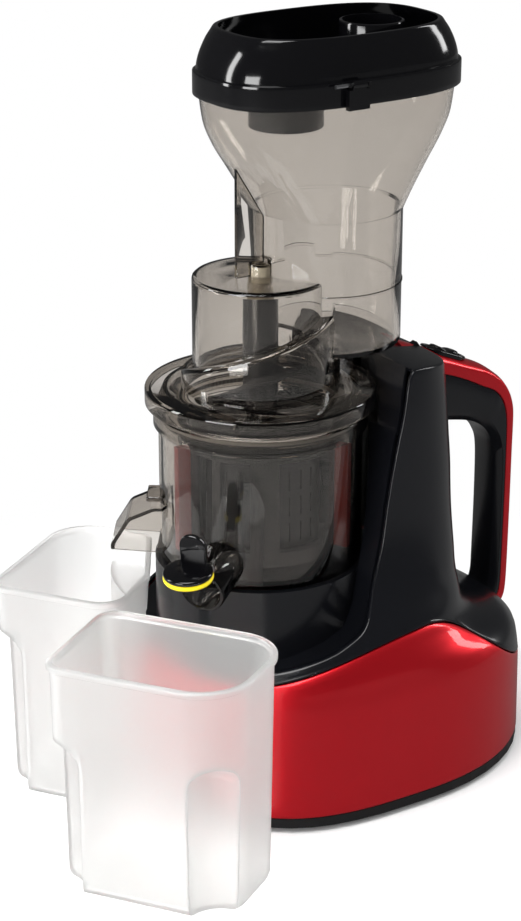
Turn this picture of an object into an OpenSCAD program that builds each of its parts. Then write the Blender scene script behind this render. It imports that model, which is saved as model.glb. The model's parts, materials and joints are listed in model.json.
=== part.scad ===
// Slow wide-mouth juicer: a vertical auger press on a geared motor base.
// Lengths are millimetres, +Z is up and z = 0 is the table. The origin is the middle of the whole
// object's footprint; every piece is drawn about the bowl axis and moved there by at_axis().

/* [Motor base] */
// Half of the body's width at the table
body_half_w = 107.5; // [95:0.5:125]
// How far the body stands out in front of the round bowl seat
front_lip = 8.5; // [5:0.5:14]
// Distance from the bowl axis to the back of the body
body_back = 172; // [160:1:200]
// Height of the bowl seat above the table
seat_z = 139; // [122:1:165]
// Wall of the red and black mouldings
shell_wall = 2.6; // [2:0.1:4]
// Height of the rubber feet under the base plate
foot_h = 3; // [2:0.5:6]
// Lowest height of the wavy joint between the red and the black shell
wave_low = 57; // [45:1:70]
// Height of the wave at the front
wave_front = 80; // [70:1:86]
// Height of the wave's crest at the sides
wave_crest = 108.5; // [100:0.5:118]

/* [Bowl and screen] */
// Outer radius of the juice bowl
bowl_r = 60.5; // [54:0.5:73]
// Height of the juice bowl
bowl_h = 95.5; // [85:0.5:115]
// Wall of the clear mouldings
clear_wall = 2.6; // [2:0.1:4]
// Outer radius of the strainer
strainer_r = 44; // [40:0.5:46]
// Angle of both outlets from straight ahead
outlet_angle = 35; // [25:1:45]
// Distance from the bowl axis to the mouth of the juice spout
spout_reach = 89; // [84:1:100]
// Bore radius of the juice spout
spout_bore_r = 11; // [8:0.5:12]

/* [Hopper and tray] */
// Outer radius of the feed tube
tube_r = 44.5; // [40:0.5:47]
// Distance from the bowl axis back to the feed tube's axis
tube_y = 46; // [44:0.5:50]
// Height of the low flat chamber above the flange
chamber_h = 67; // [58:1:80]
// Height of the hopper's open top above the flange
hopper_h = 173; // [150:1:200]
// Half of the tray's length
tray_half_l = 80; // [74:1:90]
// Half of the tray's width
tray_half_w = 50; // [48:0.5:56]
// Height of the tray
tray_h = 38; // [30:1:46]

/* [Cups] */
// Height of the juice cup
juice_cup_h = 140.5; // [120:0.5:160]
// Height of the pulp cup
pulp_cup_h = 136; // [125:1:142]
// Wall of both cups
cup_wall = 1.8; // [1.4:0.1:2.6]
// Distance from the bowl axis to the juice cup's back wall
juice_cup_back = 113.4; // [112:0.2:125]

/* [Gears] */
// Teeth on the motor pinion
pinion_teeth = 12; // [11:1:14]
// Teeth on the first gear
first_teeth = 60; // [54:1:64]
// Teeth on the output gear
output_teeth = 64; // [58:1:66]
// Running clearance of shafts and pins in their holes
run_gap = 0.05; // [0.03:0.01:0.08]

/* [Hidden] */
$fn = 64;
sides = 48;                                   // sides of every lofted ring
seg_count = 6;                                // steps in a rounded corner

plate_top = foot_h + 3;                       // base plate
rim_top = foot_h + 6;
pocket_r = bowl_r + 3.5;                      // room for the bowl between the column's arms
pedestal_r = bowl_r + 3;
body_front = pedestal_r + front_lip;
rim_z = seat_z + bowl_h;                      // top of the bowl
flange_z0 = rim_z + 1.2;                      // drum flange
flange_z1 = flange_z0 + 10.3;
flange_r = bowl_r + 7.8;
bowl_rim_r = bowl_r + 3;
bowl_in = bowl_r - clear_wall;
bowl_floor = seat_z + 0.2 + clear_wall;
chamber_r = bowl_r - 13.8;                    // low chamber of the drum
small_r = chamber_r - 6.7;                    // flat-topped chamber above it
chamber_top = flange_z1 + chamber_h;
tube_z0 = flange_z1 + 20.5;
neck_z = flange_z1 + 102;                     // where the tube opens into the hopper
hopper_top = flange_z1 + hopper_h;
tray_z0 = hopper_top - 2.4;
tray_top = tray_z0 + tray_h;
column_top = flange_z1 + 13;
ramp_start = 237;                             // the chamber's ramp starts low at the front left
ramp_low = 9;
ramp_rise = 45;
ramp_steps = 10;
spout_tilt = 12;
spout_wall = 2.5;
spout_z = seat_z + 9.3;                       // middle of the juice spout's mouth
smoke = [0.42, 0.38, 0.33, 0.45];
jet = [0.10, 0.10, 0.11];
lacquer = [0.62, 0.04, 0.08];
frost = [0.92, 0.93, 0.95, 0.6];

// ---- plan outlines -------------------------------------------------------------------------

function side_of(v) = v < 0 ? -1 : 1;

// Oval with half width a from y = f to y = r; exponents pf and pr square off its front and back.
function oval(a, f, r, pf = 2, pr = 2) = [for (i = [0:sides - 1])
    let (t = 360 * i / sides, c = cos(t), s = sin(t), p = s < 0 ? pf : pr)
    [a * side_of(c) * pow(abs(c), 2 / p),
     (r + f) / 2 + (r - f) / 2 * side_of(s) * pow(abs(s), 2 / p)]];

function unit(v) = v / norm(v);

// Arc of radius r that rounds the corner p between its neighbours a and b.
function corner_arc(a, p, b, r) =
    let (u = unit(a - p), v = unit(b - p), half = acos(u * v) / 2,
         mid = p + unit(u + v) * r / sin(half),
         s = p + u * r / tan(half) - mid, e = p + v * r / tan(half) - mid,
         a0 = atan2(s[1], s[0]), turn = (atan2(e[1], e[0]) - a0 + 540) % 360 - 180)
    [for (i = [0:seg_count]) mid + r * [cos(a0 + turn * i / seg_count), sin(a0 + turn * i / seg_count)]];

// Outline from corners [x, y, radius], moved inward by inset.
function rounded(corners, inset = 0) = [for (i = [0:len(corners) - 1])
    let (m = len(corners), a = corners[(i + m - 1) % m], p = corners[i], b = corners[(i + 1) % m],
         u = unit([a[0] - p[0], a[1] - p[1]]), v = unit([b[0] - p[0], b[1] - p[1]]),
         half = acos(u * v) / 2, q = [p[0], p[1]] + unit(u + v) * inset / sin(half))
    each corner_arc(q + u, q, q + v, max(p[2] - inset, 0.5))];

// Solid through a stack of ovals, each [z, a, f, r, pf, pr], drawn inset by a wall.
module loft(levels, inset = 0) {
    n = sides;
    top = len(levels) - 1;
    rings = [for (l = levels) for (p = oval(l[1] - inset, l[2] + inset, l[3] - inset, l[4], l[5]))
        [p[0], p[1], l[0]]];
    polyhedron(points = rings, convexity = 6, faces = concat(
        [[for (i = [0:n - 1]) i]],
        [for (k = [0:top - 1]) for (i = [0:n - 1])
            let (j = (i + 1) % n) [k * n + i, k * n + n + i, k * n + n + j]],
        [for (k = [0:top - 1]) for (i = [0:n - 1])
            let (j = (i + 1) % n) [k * n + i, k * n + n + j, k * n + j]],
        [[for (i = [n - 1:-1:0]) top * n + i]]));
}

// The same stack with its lowest level moved by low and its highest by high.
function stretched(levels, low, high) = [for (i = [0:len(levels) - 1]) let (l = levels[i])
    [l[0] + (i == 0 ? low : i == len(levels) - 1 ? high : 0), l[1], l[2], l[3], l[4], l[5]]];

module at_axis() translate([axis_x, axis_y, 0]) children();
module ring(r_out, r_in, z0, z1) translate([0, 0, z0]) difference() {
    cylinder(r = r_out, h = z1 - z0);
    translate([0, 0, -1]) cylinder(r = r_in, h = z1 - z0 + 2);
}
module disc(r, z0, z1) translate([0, 0, z0]) cylinder(r = r, h = z1 - z0);
// Flat outline in the YZ plane, given thickness w across X.
module side_plate(points, w) rotate([90, 0, 90]) translate([0, 0, -w / 2])
    linear_extrude(w) polygon(points);

// ---- gears ---------------------------------------------------------------------------------

first_module = 1;
second_module = 1.25;
second_teeth = 12;
gear_add = 0.8;                               // tooth tip above the pitch circle, in modules
gear_ded = 1.1;                               // tooth root below it
gear_play = 0.13;                             // half of the backlash, in modules
first_span = first_module * (pinion_teeth + first_teeth) / 2;
second_span = second_module * (second_teeth + output_teeth) / 2;
lay_y = second_span;
motor_y = first_span + second_span;

// Teeth with straight flanks; out and in are the tip and root distances from the pitch circle.
function gear_points(teeth, mod, out, in, play) =
    let (r = teeth * mod / 2, half = PI * mod / 4 - play)
    [for (i = [0:teeth - 1], k = [0:3])
        let (rr = k == 0 || k == 3 ? r - in : r + out,
             w = half - (rr - r) * tan(20), a = 360 * i / teeth + (k < 2 ? -1 : 1) * w / rr * 180 / PI)
        rr * [cos(a), sin(a)]];
module gear(teeth, mod, h, bore, turn = 0) rotate(turn) difference() {
    linear_extrude(h) polygon(gear_points(teeth, mod, gear_add * mod, gear_ded * mod, gear_play * mod));
    translate([0, 0, -1]) cylinder(r = bore, h = h + 2);
}

gear_z = seat_z - 45;                         // floor of the first gear
gearbox_z0 = seat_z - 51;                     // underside of the gearbox floor
gearbox_z1 = seat_z - 18;                     // top of its cover
shaft_r = 7;
motor_shaft_r = 4;
lay_r = 4;
bearing_h = 7;
stator_r = 40;
rotor_r = 24;
stator_z0 = 43;
stator_z1 = gearbox_z0 - 17;
post_r = 3;
post_ring = 36.5;

module at_lay() translate([0, lay_y, 0]) children();
module at_motor() translate([0, motor_y, 0]) children();
module gearbox_plan(grow, z0, z1) {
    disc(42 + grow, z0, z1);
    at_lay() disc(32 + grow, z0, z1);
    at_motor() disc(12 + grow, z0, z1);
}
gearbox_ears = [[-53, -8], [53, -8], [-52, 92], [52, 92]];

// ---- body skin -----------------------------------------------------------------------------

// Stack of ovals from the base plate to the top of the column.
skin = [
    [rim_top, body_half_w, -body_front, body_back, 3, 2.2],
    [wave_low - 2, body_half_w - 2, 1 - body_front, body_back, 3, 2.2],
    [seat_z - 65, body_half_w - 3.5, 2.5 - body_front, body_back - 2.5, 3, 2.2],
    [seat_z - 55, body_half_w - 5.5, 3.5 - body_front, body_back - 12.5, 2.9, 2.2],
    [seat_z - 50, body_half_w - 6.5, 5 - body_front, body_back - 24.5, 2.8, 2.2],
    [seat_z - 44, body_half_w - 8.5, 8 - body_front, body_back - 38, 2.6, 2.2],
    [seat_z - 36, body_half_w - 12.5, 14 - body_front, body_back - 46, 2.4, 2.2],
    [seat_z - 27, body_half_w - 17.5, 22 - body_front, body_back - 49, 2.3, 2.3],
    [seat_z - 14, body_half_w - 25.5, 32 - body_front, body_back - 51, 2.4, 2.4],
    [seat_z, pocket_r + 11, -28, pocket_r + 55.5, 2.6, 2.6],
    [seat_z + 26, pocket_r + 4, -20, pocket_r + 54.5, 2.7, 2.7],
    [seat_z + 46, pocket_r + 1.5, -18, pocket_r + 54.5, 2.7, 2.7],
    [rim_z - 23.5, pocket_r - 0.5, -17, pocket_r + 53, 2.7, 2.7],
    [rim_z - 4.5, pocket_r - 2, -16, pocket_r + 52, 2.7, 2.7],
    [column_top, pocket_r - 5.5, -15, pocket_r + 49, 2.7, 2.7]
];
low_skin = [for (l = skin) if (l[0] < seat_z - 20) l];
high_skin = [for (l = skin) if (l[0] > rim_top + 1) l];

// Height of the joint between the shells at a distance y behind the bowl axis.
function smooth(t) = t <= 0 ? 0 : t >= 1 ? 1 : t * t * (3 - 2 * t);
crest_y = 60;
wave_start = -120;
function wave(y) = y < crest_y
    ? wave_front + (wave_crest - wave_front) * smooth((y - wave_start) / (crest_y - wave_start))
    : wave_crest + (wave_low - wave_crest) * smooth((y - crest_y) / 104);
module above_wave(lift) side_plate(concat(
    [for (y = [-90:8:body_back + 10]) [y, wave(y) + lift]],
    [[body_back + 12, wave_low + lift], [body_back + 12, 400], [-90, 400]]), 2 * body_half_w + 20);
module below_wave() side_plate(concat(
    [for (y = [-90:8:body_back + 10]) [y, wave(y)]],
    [[body_back + 12, wave_low], [body_back + 12, 0], [-90, 0]]), 2 * body_half_w + 20);

// Side view [y, z] of the black shield: the shoulder in front of the bowl's pedestal, the column's
// leaning front edge, and its top, which falls towards the handle.
shield_edge = [[-90, seat_z - 53], [-55, seat_z - 45], [-35, seat_z - 40.5], [-18, seat_z - 36.5],
    [-5, seat_z - 33], [5.5, seat_z - 29], [14, seat_z - 25], [20.4, seat_z - 19.5], [25, seat_z - 12],
    [29.5, seat_z - 4], [35, seat_z + 6], [41.5, seat_z + 21], [46.5, seat_z + 41], [53.5, rim_z - 26],
    [60.1, rim_z - 3], [66.3, flange_z1 + 8], [70, flange_z1 + 12], [130, flange_z1]];
// The same path moved inward by d along its normals.
function inward(path, d) = [for (i = [0:len(path) - 1])
    let (a = path[max(i - 1, 0)], b = path[min(i + 1, len(path) - 1)], u = unit(b - a))
    path[i] + d * [u[1], -u[0]]];
module shield(levels, inset = 0) intersection() {
    loft(levels, inset);
    side_plate(concat(inward(shield_edge, inset), [[220, flange_z1 - 18], [220, -40], [-90, -40]]),
        2 * body_half_w + 20);
}

// ---- base ----------------------------------------------------------------------------------

boss_angles = [20, 90, 160, 200, 340];
foot_line = oval(body_half_w, -body_front, body_back, 3, 2.2);
// Point on the base outline at index angle t, moved 8 mm inward.
function nearest(t) = let (i = round(t / 360 * sides) % sides, a = foot_line[(i + sides - 1) % sides],
    b = foot_line[(i + 1) % sides], d = unit(b - a)) foot_line[i] + [-d[1], d[0]] * 8;
feet = [[-78, -28], [78, -28], [-66, 128], [66, 128]];

module base_plate() color([0.08, 0.08, 0.09]) at_axis() difference() {
    union() {
        translate([0, 0, foot_h]) linear_extrude(rim_top - foot_h)
            polygon(oval(body_half_w - 0.3, 0.3 - body_front, body_back - 0.3, 3, 2.2));
        for (p = gearbox_ears) translate([p[0], p[1], foot_h + 1])
            cylinder(r = 7, h = gearbox_z0 - foot_h - 1);
    }
    difference() {
        translate([0, 0, plate_top]) linear_extrude(10)
            polygon(oval(body_half_w - 2.3, 2.3 - body_front, body_back - 2.3, 3, 2.2));
        for (p = gearbox_ears) translate([p[0], p[1], 0]) cylinder(r = 7, h = 60);
    }
    for (p = feet) translate([p[0], p[1], 0]) cylinder(r = 4.1, h = 20);
    for (t = boss_angles) translate([nearest(t)[0], nearest(t)[1], 0]) {
        cylinder(r = 2.2, h = 20);
        translate([0, 0, foot_h - 1]) cylinder(r = 4.2, h = 2.6);
    }
    for (p = gearbox_ears) translate([p[0], p[1], gearbox_z0 - 18]) cylinder(r = 2, h = 30);
    for (x = [-24:8:24]) translate([x - 1.5, motor_y - 24, -1]) cube([3, 48, 30]);
}

module rubber_feet() color([0.05, 0.05, 0.05]) at_axis() for (p = feet) translate([p[0], p[1], 0]) {
    cylinder(r = 10, h = foot_h);
    cylinder(r = 4, h = plate_top + 1.5);
}

module base_screws() color([0.7, 0.7, 0.72]) at_axis()
    for (t = boss_angles) translate([nearest(t)[0], nearest(t)[1], foot_h - 0.4]) {
        cylinder(r = 3.9, h = 2);
        cylinder(r = 1.9, h = 16);
    }

cord_z = 26;
module lower_shell() color(lacquer) at_axis() difference() {
    union() {
        difference() {
            loft(low_skin);
            loft(stretched(low_skin, -1, 1), shell_wall);
        }
        intersection() {
            loft(low_skin, 1);
            for (t = boss_angles) translate([nearest(t)[0], nearest(t)[1], 0]) cylinder(r = 5.5, h = 40);
        }
        for (t = boss_angles) translate([nearest(t)[0], nearest(t)[1], plate_top])
            cylinder(r = 5, h = 8);
    }
    above_wave(0);
    for (t = boss_angles) translate([nearest(t)[0], nearest(t)[1], 0]) cylinder(r = 2, h = 24);
    translate([0, body_back - 10, cord_z]) rotate([-90, 0, 0]) cylinder(r = 7, h = 20);
}

module cord_bushing() color(jet) at_axis() translate([0, body_back - 5.5, cord_z]) rotate([-90, 0, 0])
    difference() {
        union() {
            cylinder(r = 6.9, h = 8);
            translate([0, 0, 5.8]) cylinder(r = 9, h = 2);
        }
        translate([0, 0, -1]) cylinder(r = 3.6, h = 12);
    }

module upper_housing() color(jet) at_axis() difference() {
    union() {
        shield(high_skin);
        translate([0, 0, wave_low + 4])
            cylinder(r1 = pedestal_r + 2, r2 = pedestal_r, h = seat_z - wave_low - 4);
    }
    // hollow inside, below the seat and up the column
    difference() {
        union() {
            shield(stretched(high_skin, -2, -shell_wall / 2), shell_wall);
            disc(pedestal_r - shell_wall, wave_low - 10, seat_z - shell_wall);
        }
        disc(pocket_r + shell_wall, seat_z - shell_wall, rim_z - 15);
        disc(flange_r + 1.2 + shell_wall, rim_z - 15 - shell_wall, 400);
    }
    // room for the bowl and the drum's flange
    disc(pocket_r, seat_z, rim_z - 14);
    disc(flange_r + 1.2, rim_z - 14.01, 400);
    below_wave();
    disc(shaft_r + 4, seat_z - 10, seat_z + 1);
}

// ---- handle and switch ---------------------------------------------------------------------

handle_w = 27;
handle_back = body_back + 13.5;
trim_t = 11;                                  // depth of the red band along the handle's outside
handle_out = [[96, flange_z1 + 5.5], [116, flange_z1 + 1], [130, flange_z1 - 4], [146, flange_z1 - 10.4],
    [160, flange_z1 - 15.9], [169, flange_z1 - 21.4], [177, flange_z1 - 28.8], [182.3, flange_z1 - 38],
    [185, flange_z1 - 49.5], [185.5, flange_z1 - 76], [185.5, 94], [184.5, 60]];
grip_shift = handle_back - 185.5;
function shifted(p, d) = [p[0] > 140 ? p[0] + d : p[0], p[1]];
outer_path = [for (p = handle_out) shifted(p, grip_shift)];
function backward(path) = [for (i = [len(path) - 1:-1:0]) path[i]];
// Hand side of the handle, from its foot up to the column.
gap_path = [for (p = [[165, 60], [165, 75], [168.7, 80], [168.8, 125], [168, flange_z1 - 86],
    [165.5, flange_z1 - 74], [160.5, flange_z1 - 66.5], [153, flange_z1 - 61.5], [140, flange_z1 - 56],
    [125, flange_z1 - 52.5], [84, flange_z1 - 50]]) shifted(p, grip_shift)];
switch_y = 134;
switch_z = flange_z1 - 5.6;
switch_slope = -22;
module at_switch() translate([0, switch_y, switch_z]) rotate([switch_slope, 0, 0]) children();
module stadium(r, half_gap, z0, z1) translate([0, 0, z0]) {
    for (y = [-half_gap, half_gap]) translate([0, y, 0]) cylinder(r = r, h = z1 - z0);
    translate([-r, -half_gap, 0]) cube([2 * r, 2 * half_gap, z1 - z0]);
}

module handle_core() color(jet) at_axis() difference() {
    side_plate(concat(inward(outer_path, trim_t), gap_path), handle_w);
    shield(high_skin);
    loft(low_skin);
    at_switch() stadium(8.6, 6.5, -22, 10);
}
module handle_trim() color(lacquer) at_axis() difference() {
    side_plate(concat(outer_path, backward(inward(outer_path, trim_t))), handle_w);
    shield(high_skin);
    loft(low_skin);
    at_switch() stadium(8.6, 6.5, -22, 10);
}
module switch_bezel() color([0.05, 0.05, 0.06]) at_axis() at_switch() difference() {
    union() {
        stadium(8.5, 6.5, -8, 1);
        stadium(9.8, 6.5, 0.1, 1.8);
    }
    stadium(6.5, 6.5, -20, 10);
    translate([-12, 0, -2]) rotate([0, 90, 0]) cylinder(r = 1.5 + run_gap, h = 24);
}
module switch_rocker() color([0.03, 0.03, 0.03]) at_axis() at_switch() {
    stadium(6, 4.4, -3.5, 3.6);
    translate([-8.2, 0, -2]) rotate([0, 90, 0]) cylinder(r = 1.5, h = 16.4);
}
module switch_block() color([0.15, 0.15, 0.16]) at_axis() at_switch() {
    translate([-6, -1, -20]) cube([12, 13, 11.5]);
    for (y = [1, 5.5, 10]) translate([-3, y - 0.4, -21.5]) cube([6, 0.8, 2]);
}

// ---- electrics -----------------------------------------------------------------------------

board_y = body_back - 26;
module control_board() color([0.05, 0.35, 0.15]) at_axis() translate([-32, board_y, plate_top + 4])
    cube([64, 1.6, 48]);
module board_parts() color([0.2, 0.2, 0.22]) at_axis() {
    translate([-26, board_y - 16, plate_top + 12]) cube([20, 16, 16]);
    translate([14, board_y, plate_top + 24]) rotate([90, 0, 0]) cylinder(r = 9, h = 18);
    for (x = [-30, 28]) translate([x, board_y - 3, plate_top]) cube([4, 8, 4]);
}
safety_y = pocket_r + shell_wall + 0.2;
module safety_switch() color([0.12, 0.12, 0.13]) at_axis() translate([-10, safety_y, rim_z - 40])
    cube([20, 7, 10]);

// ---- motor ---------------------------------------------------------------------------------

module bearing(r_out, r_in, h) difference() {
    cylinder(r = r_out, h = h);
    translate([0, 0, -1]) cylinder(r = r_in, h = h + 2);
    for (z = [-1, h - 0.8]) translate([0, 0, z]) difference() {
        cylinder(r = r_out - (r_out - r_in) * 0.25, h = 1.8);
        translate([0, 0, -1]) cylinder(r = r_in + (r_out - r_in) * 0.25, h = 4);
    }
}
module motor_posts(z0, z1) for (a = [45:90:315]) rotate(a) translate([post_ring, 0, z0])
    cylinder(r = post_r, h = z1 - z0);

module stator_core() color([0.55, 0.56, 0.58]) at_axis() at_motor() difference() {
    disc(stator_r, stator_z0, stator_z1);
    disc(rotor_r + 0.5, stator_z0 - 1, stator_z1 + 1);
    for (a = [0:15:345]) rotate(a) translate([rotor_r + 4.5, 0, stator_z0 - 1])
        cylinder(r = 1.8, h = stator_z1 - stator_z0 + 2);
}
module stator_windings() color([0.72, 0.38, 0.16]) at_axis() at_motor() {
    ring(32.5, 26.5, stator_z1, stator_z1 + 11);
    ring(32.5, 26.5, stator_z0 - 11, stator_z0);
}
bracket_z = 25;
module motor_bracket() color([0.72, 0.73, 0.75]) at_axis() at_motor() difference() {
    union() {
        disc(stator_r + 1, bracket_z, bracket_z + 4);
        disc(13.5, bracket_z, bracket_z + bearing_h);
        motor_posts(bracket_z, stator_z0);
    }
    disc(11, bracket_z - 1, bracket_z + 20);
    for (a = [0:90:270]) rotate(a) translate([26, 0, bracket_z - 1]) cylinder(r = 6, h = 8);
}
module rotor_core() color([0.60, 0.61, 0.63]) at_axis() at_motor() {
    ring(rotor_r, motor_shaft_r, stator_z0, stator_z1);
    ring(rotor_r - 3, rotor_r - 8, stator_z0 - 3, stator_z0);
    ring(rotor_r - 3, rotor_r - 8, stator_z1, stator_z1 + 3);
}
module motor_shaft() color([0.8, 0.8, 0.82]) at_axis() at_motor() {
    disc(motor_shaft_r, plate_top + 4, gearbox_z0 + 3.5);
    disc(3, gearbox_z0 + 3, gear_z + 10);
}
module cooling_fan() color([0.15, 0.15, 0.16]) at_axis() at_motor() difference() {
    union() {
        disc(9, plate_top + 5, plate_top + 15);
        disc(30, plate_top + 13, plate_top + 15);
        for (a = [0:30:330]) rotate(a) translate([8, -0.8, plate_top + 5]) cube([21, 1.6, 9]);
    }
    disc(motor_shaft_r, 0, 60);
}
module motor_bearings() color([0.85, 0.85, 0.87]) at_axis() at_motor() {
    for (z = [bracket_z, gearbox_z0 + 3 - bearing_h]) translate([0, 0, z])
        bearing(11, motor_shaft_r + run_gap, bearing_h);
}

// ---- gearbox -------------------------------------------------------------------------------

module gearbox_floor() color([0.70, 0.71, 0.73]) at_axis() difference() {
    union() {
        gearbox_plan(5, gearbox_z0, gearbox_z0 + 3);
        for (p = gearbox_ears) {
            translate([p[0], p[1], gearbox_z0]) cylinder(r = 8, h = 3);
            translate([min(p[0], 0), p[1] - 6, gearbox_z0]) cube([abs(p[0]), 12, 3]);
        }
        at_motor() disc(13.5, gearbox_z0 + 3 - bearing_h, gearbox_z0 + 1);
        at_motor() motor_posts(stator_z1, gearbox_z0 + 1);
        disc(16, gearbox_z0 + 3 - bearing_h, gearbox_z0 + 1);
        at_motor() disc(stator_r, gearbox_z0, gearbox_z0 + 3);
    }
    at_motor() disc(11, gearbox_z0 - 10, gearbox_z0 + 10);
    disc(13, gearbox_z0 - 10, gearbox_z0 + 10);
    at_lay() disc(lay_r, gearbox_z0 - 1, gearbox_z0 + 10);
    for (p = gearbox_ears) translate([p[0], p[1], gearbox_z0 - 1]) cylinder(r = 2.1, h = 8);
}
module gearbox_cover() color([0.66, 0.67, 0.69]) at_axis() difference() {
    union() {
        gearbox_plan(3, gearbox_z0 + 3, gearbox_z1);
        disc(18, gearbox_z1 - 1, gearbox_z1 + 5);
    }
    gearbox_plan(0, gearbox_z0 + 2, gearbox_z1 - 3);
    disc(15, gearbox_z1 - 3, gearbox_z1 + 6);
    at_lay() disc(lay_r, gearbox_z0, gearbox_z1 + 1);
}
module gearbox_screws() color([0.75, 0.75, 0.77]) at_axis() for (p = gearbox_ears)
    translate([p[0], p[1], gearbox_z0]) {
        translate([0, 0, 3]) cylinder(r = 4, h = 2.6);
        translate([0, 0, -16]) cylinder(r = 1.9, h = 20);
    }
module motor_pinion() color([0.78, 0.66, 0.36]) at_axis() at_motor() translate([0, 0, gear_z])
    gear(pinion_teeth, first_module, 9, 3, turn = 270 + 180 / pinion_teeth);
module first_gear() color([0.86, 0.84, 0.78]) at_axis() at_lay() translate([0, 0, gear_z + 0.5])
    gear(first_teeth, first_module, 8, lay_r + run_gap, turn = 90);
module second_pinion() color([0.75, 0.75, 0.77]) at_axis() at_lay() translate([0, 0, gear_z + 8.5])
    gear(second_teeth, second_module, 13, lay_r + run_gap, turn = 270);
module layshaft() color([0.8, 0.8, 0.82]) at_axis() at_lay() disc(lay_r, gearbox_z0, gearbox_z1 - 0.5);
module output_gear() color([0.86, 0.84, 0.78]) at_axis() translate([0, 0, gear_z + 11])
    gear(output_teeth, second_module, 10, shaft_r, turn = 90 + 180 / output_teeth);
hex_r = 6.9;
module drive_shaft() color([0.82, 0.82, 0.84]) at_axis() {
    disc(shaft_r, gearbox_z0 - 3, seat_z + 2);
    translate([0, 0, seat_z + 2]) cylinder(r = hex_r, h = 30, $fn = 6);
}
module shaft_bearings() color([0.85, 0.85, 0.87]) at_axis() {
    translate([0, 0, gearbox_z0 + 3 - bearing_h]) bearing(13, shaft_r + run_gap, bearing_h);
    translate([0, 0, gearbox_z1 - 3]) bearing(15, shaft_r + run_gap, bearing_h);
}
module shaft_seal() color([0.45, 0.12, 0.10]) at_axis()
    ring(shaft_r + 4, shaft_r + 0.3, seat_z - shell_wall - 1.4, seat_z - 0.3);

// ---- bowl ----------------------------------------------------------------------------------

module at_spout() rotate(outlet_angle) children();
module at_outlet() rotate(-outlet_angle) children();
// Frame at the middle of the spout's mouth, with +Z along the spout and outward.
module at_mouth() at_spout() translate([0, -spout_reach, spout_z]) rotate([90 + spout_tilt, 0, 0]) children();
// Frame on the cap's hinge axis, as the open cap lies.
hinge_up = spout_bore_r + spout_wall + 3;
hinge_y = -spout_reach - sin(spout_tilt) * hinge_up + 1.5;
hinge_z = spout_z + cos(spout_tilt) * hinge_up + 0.3;
cap_droop = 8;
module at_cap() at_spout() translate([0, hinge_y, hinge_z]) rotate([cap_droop, 0, 0]) children();

chute_w = 34;
chute_out = [[-50, seat_z + 33], [-64, seat_z + 33], [-79, seat_z + 26.5], [-89, seat_z + 10],
    [-89, seat_z + 6.5], [-50, seat_z + 4]];
chute_in = [[-40, seat_z + 30.6], [-63, seat_z + 30.6], [-77.4, seat_z + 24.3], [-86.8, seat_z + 9],
    [-86.8, seat_z - 4], [-63, seat_z - 4], [-61.5, seat_z + 7.2], [-40, seat_z + 7.2]];
idler_teeth = 14;
auger_teeth = 20;
idler_span = second_module * (auger_teeth + idler_teeth) / 2;
ring_teeth = auger_teeth + 2 * idler_teeth;
idler_pin_r = 3;

module juice_bowl() color(smoke) at_axis() difference() {
    union() {
        disc(bowl_r, seat_z + 0.2, rim_z);
        disc(bowl_rim_r, rim_z - 12, rim_z - 2);
        at_outlet() translate([-10, -68, seat_z + 34.5]) cube([20, 12, 3]);
    }
    disc(bowl_in, bowl_floor, rim_z + 1);
    at_mouth() translate([0, 0, -40]) cylinder(r = spout_bore_r, h = 60);
    at_outlet() side_plate(chute_in, chute_w - 4.4);
    disc(10.4, 0, bowl_floor + 1);
    translate([0, idler_span, 0]) disc(idler_pin_r, 0, bowl_floor + 1);
}
module juice_spout() color(smoke) at_axis() difference() {
    union() {
        at_mouth() translate([0, 0, -46]) cylinder(r = spout_bore_r + spout_wall, h = 46);
        // ears of the cap's hinge, behind the mouth's plane
        for (x = [-8, 5.2]) {
            at_mouth() translate([x + 0.2, spout_bore_r - 1, -6.5])
                cube([2.4, hinge_up - spout_bore_r - 0.8, 6.3]);
            at_spout() translate([x, hinge_y, hinge_z]) rotate([0, 90, 0]) cylinder(r = 3.2, h = 2.8);
        }
    }
    disc(bowl_r, seat_z - 10, rim_z);
    at_mouth() translate([0, 0, -50]) cylinder(r = spout_bore_r, h = 60);
    at_spout() translate([-12, hinge_y, hinge_z]) rotate([0, 90, 0]) cylinder(r = 1.5, h = 24);
}
module pulp_chute() color(smoke) at_axis() difference() {
    at_outlet() side_plate(chute_out, chute_w);
    disc(bowl_r, seat_z - 10, rim_z);
    at_outlet() side_plate(chute_in, chute_w - 4.4);
}
module bowl_seal() color([0.55, 0.10, 0.08]) at_axis() difference() {
    union() {
        ring(10.4, shaft_r + 0.4, seat_z + 0.5, bowl_floor);
    }
    disc(shaft_r + 1.5, seat_z, seat_z + 1.2);
}
module residue_plug() color([0.08, 0.08, 0.08]) at_axis() at_outlet()
    translate([0, -44.5, bowl_floor]) difference() {
        cylinder(r = 7, h = 1.6);
        translate([0, 0, 1]) cylinder(r = 4, h = 3);
    }
module idler_pin() color([0.8, 0.8, 0.82]) at_axis() translate([0, idler_span, 0])
    disc(idler_pin_r, seat_z + 0.5, bowl_floor + 7.5);
brush_z = bowl_floor + 0.4;
module brush_idler() color([0.85, 0.85, 0.82]) at_axis() translate([0, idler_span, brush_z + 0.6])
    gear(idler_teeth, second_module, 6, idler_pin_r + run_gap, turn = 90);

// ---- spout cap -----------------------------------------------------------------------------

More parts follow.
